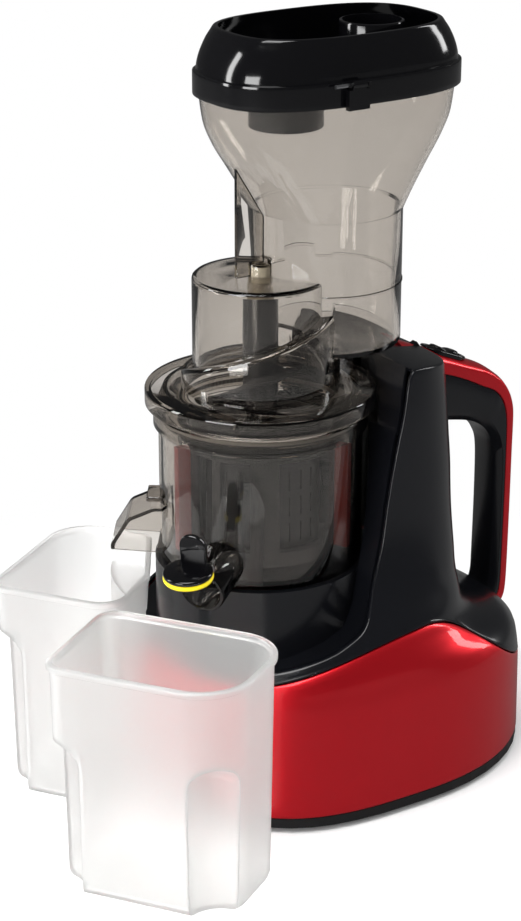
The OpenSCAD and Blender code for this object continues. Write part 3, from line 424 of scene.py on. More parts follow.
def tint(m, color, density):
    """Fills a clear material with an even absorber: light fades by exp(-density (1 - color) metres)."""
    t = m.node_tree
    fill = add(t, "ShaderNodeVolumeAbsorption", inputs={"Color": linear(color), "Density": density})
    t.links.new(fill.outputs[0], output_of(t).inputs["Volume"])
    return m


def paint(obj, material):
    """Gives an object that one material."""
    obj.data.materials.clear()
    obj.data.materials.append(material)
    return obj


print("clear walls: see_through() and tint() are ready")

# %% [markdown]
# ### Black mouldings
# All three blacks are ABS, and only the mould's polish sets them apart. A mould's grain is a tenth
# of a millimetre or less, too fine to show here, so it is drawn at about one millimetre.

# %% Black mouldings
# Housing, from a satin mould: black with a breath of blue, and highlights that are broad and soft.
satin_abs = finish("satin_black_abs", "#0e0f13", 0.22, grain_mm=1.2, bump=0.002, mottle=0.5,
                   rough_spread=0.03)
# Tray, cap and switch, from a polished mould: small bright highlights, with the faint waves of a
# cooled moulding, which are really about 4 mm wide.
gloss_abs = finish("gloss_black_abs", "#08080a", 0.10, grain_mm=4.0, bump=0.004, mottle=0.4,
                   rough_spread=0.02)
# Base plate, from a spark-eroded mould: a dull black rim that sets off the red above it.
base_abs = finish("moulded_black_abs", "#101012", 0.45, grain_mm=0.8, bump=0.012, mottle=0.5,
                  rough_spread=0.05)
print("black mouldings:", [m.name for m in (satin_abs, gloss_abs, base_abs)])

# %% [markdown]
# ### Red lacquer
# The base and the strip on the handle are mouldings sprayed with red that holds fine metal flakes,
# under clear lacquer. The flakes widen the glow of each lamp, and the lacquer lays a thin, sharp
# reflection over it. So the paint is nearly metallic and rather rough, with a smooth coat.

# %% Red lacquer
red_lacquer = finish("metallic_red_lacquer", "#dc1524", 0.40, grain_mm=0.7, bump=0.003, mottle=0.35,
                     rough_spread=0.04, Metallic=0.8, Coat_Weight=0.5, Coat_Roughness=0.06)
print("lacquer:", red_lacquer.name)

# %% [markdown]
# ### Smoked and milky plastic
# Bowl and drum are clear copolyester with a warm grey dye. The cups are plain polypropylene, which
# is milky because light scatters in it: one sees that something is behind, but no edge of it.

# %% Smoked and milky plastic
# Polished and clear: sharp outlines behind it, darker where a wall is seen along its length.
smoke = see_through(finish("smoked_copolyester", "#f1eeea", 0.015, Transmission_Weight=1.0, IOR=1.5),
                    "#d6d2cc")
tint(smoke, "#968b7e", 150.0)
# Frosted by its mould and cloudy within: a soft white glow, brightest along the rims.
milky_pp = see_through(finish("milky_polypropylene", "#f4f4f3", 0.30, grain_mm=1.2, bump=0.004,
                              mottle=0.1, rough_spread=0.04, Transmission_Weight=0.86, IOR=1.49),
                       "#e4e4e4")
print("clear plastics:", smoke.name, "and", milky_pp.name)

# %% [markdown]
# ### Silicone and rubber
# Seals and wiper strips are silicone, cured in a mould with its colour mixed in. They could share
# one material, but each colour is its own compound. All are rough, so that they look soft.

# %% Silicone and rubber
# Moulded silicone: a dull, even colour, strong in the cap's seal and dark in the wiper strips.
yellow_silicone = finish("yellow_silicone", "#ffe600", 0.42, grain_mm=0.8, bump=0.01, mottle=0.25)
red_silicone = finish("dark_red_silicone", "#7c1a12", 0.45, grain_mm=0.8, bump=0.01, mottle=0.4)
grey_silicone = finish("grey_silicone", "#a3a3a0", 0.4, grain_mm=0.8, bump=0.01, mottle=0.3)
# Rubber of the feet: no highlight at all.
black_rubber = finish("black_rubber", "#141414", 0.7, grain_mm=0.6, bump=0.02, mottle=0.5)
print("materials so far:", len(bpy.data.materials))

# %% [markdown]
# ### Metals and inner mouldings
# They show only through the smoked walls, or when the juicer is taken apart, but each is still its
# own material. Turned and etched metal has marks of a hundredth of a millimetre, drawn here at half
# a millimetre or more.

# %% Metals
# Shafts and pins, ground: bright, with a narrow highlight along them.
steel = finish("ground_steel", "#b6b7ba", 0.28, grain_mm=0.5, bump=0.004, rough_spread=0.06,
               Metallic=1.0)
# The strainer's screen: the holes between its bars are too fine to show, so the sheet is dark.
screen_steel = finish("etched_screen_steel", "#3a3b3d", 0.35, grain_mm=0.7, bump=0.02,
                      rough_spread=0.06, Metallic=1.0)
# Stacked sheets of the motor's core: grey and dull, as stamped edges are.
laminated_steel = finish("laminated_steel", "#7b7d80", 0.5, grain_mm=0.5, bump=0.03, mottle=0.4,
                         Metallic=0.9)
# Die-cast gearbox plates: pale grey, rough as cast.
cast_alloy = finish("cast_alloy", "#b9bbbd", 0.5, grain_mm=0.6, bump=0.03, mottle=0.3, Metallic=0.9)
# Windings: brown enamel over copper, with ridges as wide as the wire.
copper_wire = finish("enamelled_copper_wire", "#a8562a", 0.35, grain_mm=0.7, bump=0.08, mottle=0.5,
                     Metallic=0.9)
# Pinions, cut from bar: yellow and bright.
cut_brass = finish("cut_brass", "#c9a45c", 0.3, grain_mm=0.5, bump=0.01, Metallic=1.0)
print("metals done,", len(bpy.data.materials), "materials so far")

# %% Inner mouldings, and a material for every CAD node
# Gears of undyed nylon: cream, waxy and dull.
nylon = finish("natural_nylon", "#ded8c4", 0.4, grain_mm=0.8, bump=0.01, mottle=0.3)
# The board under its green solder mask: a lacquer over cloudy glass fibre.
circuit_board = finish("solder_masked_board", "#1c5a30", 0.35, grain_mm=1.5, bump=0.01, mottle=0.5)

BY_SLOT = {
    "black_gloss": gloss_abs, "black_satin": satin_abs, "base_black": base_abs,
    "red_lacquer": red_lacquer, "smoke_clear": smoke, "frosted_white": milky_pp,
    "seal_red": red_silicone, "seal_yellow": yellow_silicone, "seal_clear": grey_silicone,
    "foot_rubber": black_rubber, "steel": steel, "screen_steel": screen_steel,
    "lamination": laminated_steel, "cast_alloy": cast_alloy, "copper_wire": copper_wire,
    "pinion_brass": cut_brass, "gear_nylon": nylon, "board_green": circuit_board}
for row in frame["record"]["subparts"]:
    paint(frame["nodes"][row["node"]], BY_SLOT[row["material_slot"]])
print(len(frame["nodes"]), "CAD nodes painted")


# %% Putting a piece in place of CAD nodes
def piece(obj, nodes, body, material, sharp=None):
    """A finished piece rides on its CAD nodes' body, replaces them and takes the material that it is
    given.

    sharp, in degrees, shades it anew, for a mesh that was cut or given a wall after it was made.
    """
    paint(obj, material)
    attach(obj, body)
    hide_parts(*nodes)
    if sharp:
        shade(obj, sharp)
    print(obj.name, "has", len(obj.data.polygons), "faces and stands for", *nodes)
    return obj


# %% [markdown]
# ## The body's skin
# The body flows from a wide oval at the table to a narrow column behind the bowl. Both shells share
# that one skin, so it is worked out once, and not modelled twice. Its section is an oval at every
# height, so a stack of ovals describes it, and a monotone cubic joins them without a wobble. Every
# section holds the bowl's axis, so the skin is a radius at each angle and height.

# %% Skin
# [height, half width, front, rear, power of the oval in front, and behind]
BODY = [[9, 107.5, -72, 172, 3, 2.2], [55, 105.5, -71, 172, 3, 2.2],
        [74, 104, -69.5, 169.5, 3, 2.2], [84, 102, -68.5, 159.5, 2.9, 2.2],
        [89, 101, -67, 147.5, 2.8, 2.2], [95, 99, -64, 134, 2.6, 2.2],
        [103, 95, -58, 126, 2.4, 2.2], [112, 90, -50, 123, 2.3, 2.3],
        [125, 82, -40, 121, 2.4, 2.4], [139, 75, -28, 119.5, 2.6, 2.6],
        [165, 68, -20, 118.5, 2.7, 2.7], [185, 65.5, -18, 118.5, 2.7, 2.7],
        [211, 63.5, -17, 117, 2.7, 2.7], [230, 62, -16, 116, 2.7, 2.7],
        [259, 58.5, -15, 113, 2.7, 2.7]]
BEYOND = 260.0          # a radius outside every oval
HALVINGS = 34           # leaves an error of a hundred-millionth of a millimetre


def skin_radius(angle, z):
    """Distance from the bowl axis to the skin.

    It is where |x/a|^p + |y/b|^p = 1, found by halving the interval that it must lie in.
    """
    angle, z = np.broadcast_arrays(np.asarray(angle, float), np.asarray(z, float))
    half, front, rear, pf, pr = blend_levels(BODY, z.ravel()).T.reshape((5,) + z.shape)
    mid, reach = (rear + front) / 2, (rear - front) / 2
    c, s = np.cos(angle), np.sin(angle)
    lo, hi = np.zeros(z.shape), np.full(z.shape, BEYOND)
    for _ in range(HALVINGS):
        r = (lo + hi) / 2
        y = r * s - mid
        p = np.where(y < 0, pf, pr)
        inside = np.abs(r * c / half) ** p + np.abs(y / reach) ** p < 1
        lo, hi = np.where(inside, r, lo), np.where(inside, hi, r)
    return (lo + hi) / 2


print("skin beside the bowl, 20 mm above the seat, is", skin_radius(0, SEAT + 20).round(1), "mm out")

# %% [markdown]
# ## The wave between the shells
# The red shell and the black one meet along a line that rises past the bowl to a crest under the
# handle and falls again behind it. It is drawn in side view, as a height for each distance from
# front to back, because that is how such a parting line is laid out.

# %% Wave
CREST_Y, CREST = 60, 108.5              # the crest's place and height
RISE_Y, RISE = 120, 28.5                # how far in front of the axis the rise starts, and its height
FALL_Y, FALL = 104, 51.5                # how long the fall is, and how deep
JOINT = 0.35                            # each shell stops this far from the line


def wave(y):
    """Height of the line, y behind the axis: an S up to the crest and another down from it."""
    front = CREST - RISE + RISE * smooth((y + RISE_Y) / (CREST_Y + RISE_Y))
    return np.where(y < CREST_Y, front, CREST - FALL * smooth((y - CREST_Y) / FALL_Y))


def wave_height(angle):
    """Height at which the skin meets the wave, found by repeating z = wave(y of the skin at z)."""
    z = np.full(len(angle), 85.0)
    for _ in range(14):
        z = 0.5 * z + 0.5 * wave(skin_radius(angle, z) * np.sin(angle))
    return z


around = wave_height(turn(90))
print("wave runs from", around.min().round(1), "to", around.max().round(1), "mm")

# %% [markdown]
# ## The red base shell
# A sprayed moulding. Cutting a whole body in two along the wave would leave ragged triangles where
# the lacquer shows them most. So it is one grid from the base plate up to the wave, whose rows bend
# with it. The top edge is rolled in by nearly two millimetres, so that the joint to the black shell
# reads as a fine dark groove. Solidify then gives the wall its thickness on the inside.

# %% Red base shell
PLATE = 9                                               # top of the base plate
FOOT_EDGE = np.array([[1.4, 0], [0.5, 0.3], [0.05, 1.1]])       # [drawn in, up from the foot]
TOP_EDGE = np.array([[0.25, 0.5], [0.9, 0.08], [1.8, 0]])       # [drawn in, down from the top]
angle = turn(300)
top = wave_height(angle) - JOINT
z = PLATE + (top - PLATE) * np.linspace(0, 1, 44)[:, None]
r = skin_radius(angle[None, :], z)
r = np.vstack([r[0] - FOOT_EDGE[:, :1], r[1:-1], r[-1] - TOP_EDGE[:, :1]])
z = np.vstack([z[0] + FOOT_EDGE[:, 1:], z[1:-1], top - TOP_EDGE[:, 1:]])
points = np.stack([r * np.cos(angle), r * np.sin(angle), z], -1)
shell = thicken(new_object("base_shell", points.reshape(-1, 3), grid_faces(*r.shape, True)), 2.2)
piece(shell, ["lower_shell"], "base", red_lacquer, 60)

# %% [markdown]
# ## The black housing
# In side view the housing is cut off along one line: over the shoulder in front of the bowl, up the
# leaning front of the column, and back over its top. EDGE holds that line. A boolean cut could
# follow it, but a bevel on such an edge breaks up where the surfaces meet at a slant, and this edge
# catches the light all along. So for each angle the skin climbs from the wave to the line, rounds
# over, and a cut face leads in to the bowl's round seat. Each column of the grid is one path: skin,
# rounded edge, cut face, pocket wall, deck.

# %% Edge of the housing
# [distance behind the axis, height] of the cut line
EDGE = np.array([[-90, 86], [-55, 94], [-35, 98.5], [-18, 102.5], [-5, 106], [5.5, 110], [14, 114],
                 [20.4, 119.5], [25, 127], [29.5, 135], [35, 145], [41.5, 160], [46.5, 180],
                 [53.5, 208.5], [60.1, 231.5], [66.3, 253.6], [70, 257.4], [130, 245.6]])
# [distance behind the axis, how far the cut face falls towards the bowl there]
DROP = np.array([[-72, 5], [-8, 5], [6, 7], [12, 7.5], [21, 11], [28, 12], [33, 2], [36, 0]])
# Radii of the seat: in front of the bowl, behind it, and above COLLAR_Z, where the drum's flange turns
PEDESTAL_R, POCKET_R, COLLAR_R, COLLAR_Z = 63.5, 64.0, 69.5, 220.5


def edge_height(y):
    """Height of the housing's cut line at a distance y behind the bowl axis."""
    return blend_levels(EDGE, np.atleast_1d(np.clip(y, -90, 130)))[:, 0]


def meet_edge(angle):
    """Height at which the skin meets the cut line, by halving between the wave and the top."""
    lo, hi = np.full(len(angle), 60.0), np.full(len(angle), 259.0)
    for _ in range(26):
        z = (lo + hi) / 2
        below = edge_height(skin_radius(angle, z) * np.sin(angle)) > z
        lo, hi = np.where(below, z, lo), np.where(below, hi, z)
    return (lo + hi) / 2


def along(points, count):
    """Fractional positions of count points at equal distances along a line of points."""
    run = np.concatenate([[0], np.cumsum(np.linalg.norm(np.diff(points, axis=0), axis=1))])
    return np.interp(np.linspace(0, run[-1], count), run, np.arange(len(points)))


# %% Paths round the housing
# One path per angle: FRONT of them lead in to the bowl's seat, spaced evenly along the cut line,
# and the rest, behind the seat, go over the top.
fine = np.linspace(-math.pi / 2, math.pi / 2, 1400)
fine_z = meet_edge(fine)
fine_r = skin_radius(fine, fine_z)
line = np.stack([fine_r * np.cos(fine), fine_r * np.sin(fine), fine_z], 1)
k = int(np.interp(COLLAR_R, line[:, 1], np.arange(len(line))))
FRONT = 216
front_at = along(line[:k + 1], FRONT)
back_at = np.linspace(k, len(line) - 1, 60)[1:]
half_angle = np.interp(np.concatenate([front_at, back_at]), np.arange(len(fine)), fine)
print("cut line meets the skin from", line[0].round(1), "to", line[-1].round(1))

# %% Skin of the housing
# [height above the joint, offset from the skin]: a lip, a bead and a fine groove
LIP = np.array([[0, -1.7], [0.2, -0.35], [0.7, 0.1], [1.2, 0.12], [1.7, -0.25], [2.2, -0.1]])
LIP_TOP, SKIN_ROWS = 2.8, 60
EDGE_ROOM = 1.2         # the skin stops this far under the cut line
EDGE_REACH = 2.0        # and its rounding takes up this much of the cut face
SAG = 0.8               # the cut face hangs through by this much, in front of the bowl


def skin_rows(angle, top):
    """Rows of the skin from the wave to just under the cut line, even above the lip."""
    foot = wave_height(angle) + JOINT
    v = np.concatenate([LIP[:, 0], np.linspace(LIP_TOP, 100, SKIN_ROWS)])[:, None]
    share = np.clip((v - LIP_TOP) / (100 - LIP_TOP), 0, 1)
    z = foot + (np.minimum(v, LIP_TOP) + (top - foot - EDGE_ROOM - LIP_TOP) * share)
    r = skin_radius(angle[None, :], z)
    r += np.concatenate([LIP[:, 1], np.zeros(SKIN_ROWS)])[:, None]
    return np.stack([r * np.cos(angle), r * np.sin(angle), z], -1)


print(len(skin_rows(half_angle, meet_edge(half_angle))), "rows of skin")


# %% Whole paths of the housing
def meridians(angle):
    """Each path's skin and rounded edge, then the cut face, wall and deck of the first FRONT paths.

    The edge is the quadratic curve (1-t)^2 skin + 2(1-t)t edge + t^2 start, and the cut face a
    straight line from it to the seat, less SAG sin(pi t) in front.
    """
    ze = meet_edge(angle)
    c, s = np.cos(angle), np.sin(angle)
    skin = skin_rows(angle, ze)
    re = skin_radius(angle, ze)
    edge = np.stack([re * c, re * s, ze], -1)
    yi = np.where(edge[:, 1] < 0, edge[:, 1] * PEDESTAL_R / -line[0, 1], edge[:, 1])
    zi = edge_height(yi) - np.interp(yi, DROP[:, 0], DROP[:, 1])
    ri = np.where(zi > COLLAR_Z, COLLAR_R, np.where(zi > SEAT, POCKET_R, PEDESTAL_R))
    phi = np.arcsin(np.clip(yi / ri, -1, 1))
    inner = np.stack([ri * np.cos(phi), ri * np.sin(phi), zi], -1)
    behind = np.arange(len(angle)) >= FRONT
    goal = np.stack([np.zeros(len(angle)), edge[:, 1] - 0.6 * (edge[:, 1] - COLLAR_R), ze], -1)
    goal = np.where(behind[:, None], goal, inner)
    step = goal - edge
    step *= EDGE_REACH / np.linalg.norm(step, axis=1, keepdims=True)
    start = edge + step
    start[behind, 2] = edge_height(start[behind, 1])
    t = np.linspace(0, 1, 7)[1:, None, None]
    round_over = (1 - t) ** 2 * skin[-1] + 2 * t * (1 - t) * edge + t**2 * start
    outer = np.concatenate([skin, round_over])
    f = slice(0, FRONT)
    t = np.linspace(0, 1, 9)[1:, None, None]
    face = start[f] * (1 - t) + inner[f] * t
    face[..., 2] -= SAG * np.sin(math.pi * t[..., 0]) * np.clip((SEAT - zi[f]) / 20, 0, 1)
    zf, rf, pf = zi[f], ri[f], phi[f]
    knee = np.minimum(zf, COLLAR_Z)                     # where the collar steps in to the pocket
    low = zf <= COLLAR_Z
    first = np.argmax(~low)
    last, quarter = pf[first - 1], math.pi / 2
    fan = np.where(low, pf, last + (pf - pf[first]) * (quarter - last) / (quarter - pf[first]))
    near = np.where(zf > SEAT, POCKET_R, PEDESTAL_R)
    rows = [(rf, pf, zf + (knee - zf) * q) for q in (0.5, 1.0)]
    rows += [(near, fan, knee + (SEAT - knee) * q) for q in np.linspace(0, 1, 9)]
    rows += [(q, fan, np.full(FRONT, SEAT - d)) for q, d in ((40, 0), (20, 0), (11, 0), (11, 2.4))]
    rows = [np.stack([q * np.cos(a), q * np.sin(a), h], -1) for q, a, h in rows]
    return outer, np.concatenate([face, np.stack(rows)]), start


outer, inside, start = meridians(half_angle)
print(len(half_angle), "paths of", len(outer), "points, and in front", len(inside), "more")

# %% Black housing
top_row = start[FRONT - 1:]
t = np.linspace(0, 1, 9)[None, :, None]
roof = top_row[:, None] * (1 - t) + (top_row * [0, 1, 1])[:, None] * t
roof[..., 2] = edge_height(roof[..., 1].ravel()).reshape(roof.shape[:2])
blocks, faces, count = [], [], 0
for side in (1, -1):                    # one half and its mirror image, welded by new_object
    for block in (outer, inside, roof):
        blocks.append((block * [side, 1, 1]).reshape(-1, 3))
        faces += grid_faces(block.shape[0], block.shape[1], False, count)
        count += block.shape[0] * block.shape[1]
housing = thicken(new_object("housing", np.vstack(blocks), faces), 2.0)
piece(housing, ["upper_housing"], "base", satin_abs, 40)

# %% [markdown]
# ## The handle
# A black bar with a red strip let into its back, which bends from the column down to the base. A
# curve with a bevel shape would make a bar, but its section changes along the way. So five lines in
# side view describe it: the ridge of its crowned red back, the crease where the back turns to the
# side, the lower edge of the red band, and the two edges of the chamfer on the hand side. Each is
# smoothed and resampled alike, so that one step along all five is a section.

# %% Lines of the handle
# Points as (distance behind the axis, height)
RIDGE = [(96, 256), (103.4, 253.3), (114.9, 248.3), (124.2, 244.7), (134, 240.6), (147, 235.2),
         (160.5, 229.4), (169.5, 223.3), (175, 218.6), (180.3, 211.5), (183.8, 203), (185.3, 193),
         (185.4, 170), (185.3, 120), (185, 94), (184.4, 76), (182.6, 67), (178.5, 62.3), (172, 60.4),
         (166, 60.2)]
CREASE = [(96, 250.5), (103, 247.8), (115.7, 242.8), (129.6, 238.1), (145.3, 231.9), (161.2, 225.6),
          (169.4, 220.1), (173.5, 216), (177.8, 209.5), (180.3, 203), (181.7, 194), (181.6, 170),
          (181.5, 135.7), (181.2, 94), (180.6, 76), (179, 68.5), (175.5, 64.6), (170, 63), (166, 62.6)]
BAND = [(96, 243), (110, 237.6), (125.2, 231.8), (133.8, 228.6), (145.6, 223.4), (156, 218.1),
        (167.2, 212.2), (173.6, 204), (176.4, 192.6), (176.9, 171.5), (176.8, 130), (176.4, 95.7),
        (175.8, 78), (173, 70), (166, 66)]
CHAMFER = [(96, 212), (115, 208.5), (134.7, 204.4), (150.5, 200), (162.7, 192.8), (170.6, 182.9),
           (174.2, 171.4), (174.9, 158), (174.9, 130), (174.5, 95.7), (173.8, 79), (171, 72),
           (165.5, 68)]
GRIP = [(96, 205), (118, 201.5), (137.6, 198.1), (149.5, 195.1), (159.2, 189.8), (166, 181.7),
        (169.7, 170), (170.4, 137), (169.9, 95.3), (169.4, 82), (167, 75), (163, 70)]


def curve_through(points, count):
    """Catmull-Rom curve: a cubic for each stretch, its end slopes half the chord of the neighbours."""
    p = np.vstack([2 * points[0] - points[1], points, 2 * points[-1] - points[-2]])
    s = np.linspace(0, len(points) - 1 - 1e-9, count)
    k = s.astype(int)
    t = (s - k)[:, None]
    a, b, c, d = p[k], p[k + 1], p[k + 2], p[k + 3]
    return 0.5 * (2 * b + (c - a) * t + (2 * a - 5 * b + 4 * c - d) * t**2
                  + (3 * b - a - 3 * c + d) * t**3)


def fair(points, count=130):
    """A smooth line through [y, z] points, resampled at equal distances."""
    p = curve_through(np.array(points, float), 900)
    at = along(p, count)
    return np.stack([np.interp(at, np.arange(len(p)), p[:, k]) for k in (0, 1)], 1)


ridge, crease, band, chamfer, grip = (fair(p) for p in (RIDGE, CREASE, BAND, CHAMFER, GRIP))
print("five lines of", len(ridge), "points each")

# %% Red strip and black bar of the handle
HALF = 13.5             # half the handle's width
CROWN = 2.4             # power of the back's curve: 2 is a parabola, and more is flatter in the middle


def section(rows):
    """Rings from a list of (x, line) pairs that go once round the section."""
    return np.stack([np.column_stack([np.full(len(path), x), path]) for x, path in rows], 1)


def between(a, b, t):
    """The line that lies a share t of the way from line a to line b."""
    return a * (1 - t) + b * t


def both_sides(rows):
    """Rows of the section's right side, and then their mirror images in the opposite order."""
    return rows + [(-x, path) for x, path in rows[::-1]]


crown = [(HALF * q - 0.6 * np.sign(q) * (abs(q) == 1),
          crease + (ridge - crease) * (1 - abs(q) ** CROWN)) for q in np.linspace(1, -1, 25)]
left = [(HALF - 0.15, 0.06), (HALF, 0.2), (HALF, 0.95), (HALF - 0.5, 1.0)]
strip = tube_of(section([(x, between(crease, band, t)) for x, t in left[:1]] + crown
                        + [(-x, between(crease, band, t)) for x, t in left]
                        + [(x, between(crease, band, t)) for x, t in left[:0:-1]]), "handle_strip")
bar = [(HALF - 0.9, band), (HALF - 0.3, between(band, chamfer, 0.05)),
       (HALF - 0.3, between(band, chamfer, 0.98)), (HALF - 0.6, chamfer),
       (HALF - 3.0, grip * 0.9 + chamfer * 0.1), (HALF - 4.2, grip)]
core = tube_of(section(both_sides(bar)), "handle_bar")
print("sections of", 25 + 2 * len(left), "and", 2 * len(bar), "points")

# %% Stadium shapes on the switch's face
SWITCH_Y, SWITCH_Z, SWITCH_TILT = 134.0, 240.4, math.radians(-22)
SWITCH_GAP = 6.5        # half the distance between the two half circles of its outline


def at_switch(points):
    """Points drawn on the switch's face, tilted and carried to the handle's top."""
    p = np.asarray(points, float)
    c, s = math.cos(SWITCH_TILT), math.sin(SWITCH_TILT)
    return np.stack([p[..., 0], SWITCH_Y + p[..., 1] * c - p[..., 2] * s,
                     SWITCH_Z + p[..., 1] * s + p[..., 2] * c], -1)


def stadium(radius, gap, count=64):
    """Outline of two half circles, their centres gap either side of the middle, long in y."""
    t = turn(FINE)
    y = radius * np.sin(t) + gap * np.sign(np.sin(t))
    return even(np.stack([radius * np.cos(t), y], 1), count)


def stacked(shape):
    """Solid through stadium rings [radius, height] on the switch's face."""
    rings = [np.column_stack([stadium(r, SWITCH_GAP), np.full(64, h)]) for r, h in shape]
    return tube_of(at_switch(np.stack(rings)), "stacked")


print("middle of the switch's face at", at_switch([0, 0, 0]).round(1))

# %% Handle
for obj, node, slot, look in ((core, "handle_core", "black_gloss", satin_abs),
                              (strip, "handle_trim", "red_lacquer", red_lacquer)):
    combine(obj, stacked([[8.6, -22], [8.6, 12]]), "DIFFERENCE")
    piece(obj, [node], "base", look, 40)

# %% [markdown]
# ## The rocker switch
# A soft black bezel with a rocker whose two ends are raised pads, as on a forward and reverse
# switch. Two bevelled blocks would do from afar, but the highlights on small rounded edges are what
# makes a switch look moulded. So both are stacks of stadium rings that step in at the edges.

# %% Switch
frame_rings = [[8.4, -8], [8.4, 0.3], [9.7, 0.3], [9.7, 0.9], [9.2, 1.5], [8.4, 1.75], [7.6, 1.6]]
bezel = solid("switch_frame", [stacked(frame_rings)], [stacked([[6.6, -20], [6.6, 10]])], 40)
piece(bezel, ["switch_bezel"], "base", gloss_abs)
DIP, DIP_WIDTH = 1.5, 2.6       # the hollow across the rocker's middle: depth times exp(-(y / width)^2)
rings = []
for inset, height in ((0, -3.4), (0, 1.6), (0.25, 2.2), (0.8, 2.7), (2.2, 3.0), (4.0, 3.0), (5.6, 3.0)):
    o = stadium(6.0 - inset, 4.4)
    dip = DIP * np.exp(-(o[:, 1] / DIP_WIDTH) ** 2) * (height > 1)
    rings.append(np.column_stack([o, height + 0.5 * np.abs(o[:, 1]) / 10 - dip]))
rocker = tube_of(at_switch(np.stack(rings)), "switch_pad", sharp=50)
piece(rocker, ["switch_rocker"], "rocker", gloss_abs)

# %% [markdown]
# ## The clear bowl
# The bowl, its juice spout and its pulp outlet are one clear moulding. Three shells pushed into each
# other would look right in an opaque material, but in a clear one every hidden wall shows. So each
# is first a plain solid: a turned shape, a round bar and a wedge. They are joined, and what is
# hollow is cut out of them. Then the walls meet as in a mould, and light bends only where there is
# a real surface.


# %% Round solids and blocks
def spindle(profile, count=144, centre=(0.0, 0.0)):
    """An upright solid of round sections from [radius, height] pairs, closed flat at both ends."""
    return turned(profile, count, centre, closed=False)


def bar_along(profile, place, count=64):
    """A solid of round sections from [radius, distance] pairs about the z axis of the frame place."""
    return turned(profile, count, closed=False, place=place)


def box_corners(x0, x1, y0, y1, radius):
    """The corners of a rectangle, each [x, y, radius]."""
    return [[x0, y0, radius], [x1, y0, radius], [x1, y1, radius], [x0, y1, radius]]


def brick(x0, x1, y0, y1, z0, z1, place=lambda p: p, soft=0.4):
    """A block with its upright edges rounded and its ends stepped in, carried by place."""
    o = rounded(box_corners(x0, x1, y0, y1, soft), steps=4)
    i = rounded(box_corners(x0 + soft, x1 - soft, y0 + soft, y1 - soft, soft / 2), steps=4)
    rings = [(i, z0), (o, z0 + soft), (o, z1 - soft), (i, z1)]
    rings = np.stack([np.column_stack([q, np.full(len(q), h)]) for q, h in rings])
    return tube_of(place(rings), "brick")


print("round solids and blocks are ready")


# %% Frames at the spout
SPOUT_TILT = 12.0                       # the spout's mouth leans back by this many degrees
SPOUT_END, SPOUT_MID = -89.0, SEAT + 9.3        # the middle of the mouth
HINGE_UP = 16.5                         # the cap's hinge stands this far above it
CAP_TILT = 8                            # how far the open cap hangs from level


def framed(y, z, tilt):
    """A frame on the spout's line at distance y and height z, leaning about x by tilt degrees."""
    c, s = math.cos(math.radians(tilt)), math.sin(math.radians(tilt))

    def place(p):
        """Leans points about x, lifts them to (y, z) and turns them to the outlet."""
        p = np.asarray(p, float)
        return spun(np.stack([p[..., 0], y + p[..., 1] * c - p[..., 2] * s,
                              z + p[..., 1] * s + p[..., 2] * c], -1), OUTLET)
    return place


def on_its_side(place):
    """The frame place with its z axis laid along x, for pins and barrels."""
    return lambda p: place(np.stack([p[..., 2], p[..., 0], p[..., 1]], -1))


mouth = framed(SPOUT_END, SPOUT_MID, 90 + SPOUT_TILT)
HINGE_Y = SPOUT_END - math.sin(math.radians(SPOUT_TILT)) * HINGE_UP + 1.5
HINGE_Z = SPOUT_MID + math.cos(math.radians(SPOUT_TILT)) * HINGE_UP + 0.3
at_cap = framed(HINGE_Y, HINGE_Z, CAP_TILT)
level = framed(HINGE_Y, HINGE_Z, 0)
print("cap's hinge at", level([0, 0, 0]).round(1))

# %% Outside of the bowl
body = spindle([[59, 139.2], [60.1, 139.6], [60.5, 140.6], [60.5, 222.0], [61.0, 222.6],
                [63.1, 222.7], [63.5, 223.2], [63.5, 232.0], [63.1, 232.5], [61.0, 232.6],
                [60.5, 233.0], [60.5, 233.9], [60.0, 234.4], [59.2, 234.5]])
pipe = bar_along([[13.4, -46], [13.5, -40], [13.5, -1.6], [13.3, -0.8], [12.8, -0.2], [12.2, 0]], mouth)
# The pulp outlet in side view: [distance behind the axis, height over the seat, corner radius]
chute = np.array([[-50, 33, 1], [-64, 33, 8], [-79, 26.5, 8], [-89, 10, 3], [-89, 6.5, 0.8],
                  [-50, 4, 1]])
box = side_slab(rounded(chute + [0, SEAT, 0]), 17, -OUTLET)
catch = brick(-10, 10, -68, -56, SEAT + 34.5, SEAT + 37.5, lambda p: spun(p, -OUTLET))
adds = [body, pipe, box, catch]
for x in (-8.0, 5.2):                   # the two ears that hold the cap's hinge
    ear = [[2.9, x], [3.2, x + 0.3], [3.2, x + 2.5], [2.9, x + 2.8]]
    adds.append(brick(x + 0.2, x + 2.6, 10, HINGE_UP - 0.8, -6.5, -0.2, mouth, 0.3))
    adds.append(bar_along(ear, on_its_side(level), 32))
print(len(adds), "solids to join")

# %% Bowl
hollow = np.array([[-40, 30.6, 1], [-63, 30.6, 6], [-77.4, 24.3, 6], [-86.8, 9, 2], [-86.8, -4, 0.5],
                   [-63, -4, 0.5], [-61.5, 7.2, 1], [-40, 7.2, 0.5]])
cuts = [spindle([[56.2, 141.8], [57.4, 142.3], [57.9, 143.4], [57.9, 233.8], [58.4, 234.3], [59, 236]]),
        bar_along([[11, -40], [11, -0.8], [11.3, -0.2], [11.9, 1.0]], mouth),
        side_slab(rounded(hollow + [0, SEAT, 0]), 14.8, -OUTLET),
        spindle([[10.4, 130], [10.4, 142.8]], 64),                              # the shaft's hole
        bar_along([[1.5, -12], [1.5, 12]], on_its_side(level), 24)]             # the hinge's pin
bowl = solid("clear_bowl", adds, cuts, 30)
piece(bowl, ["juice_bowl", "juice_spout", "pulp_chute"], "bowl", smoke)

# %% [markdown]
# ## The spout's cap
# A black lever cap with a yellow silicone seal under it, drawn open on its hinge: the round tab
# stands up, and the seal's plug points down. The cap swings on the hinge, so all of it is drawn in
# a frame that starts there. The seal is its own turned piece, since its yellow rim shows past the
# black disc.

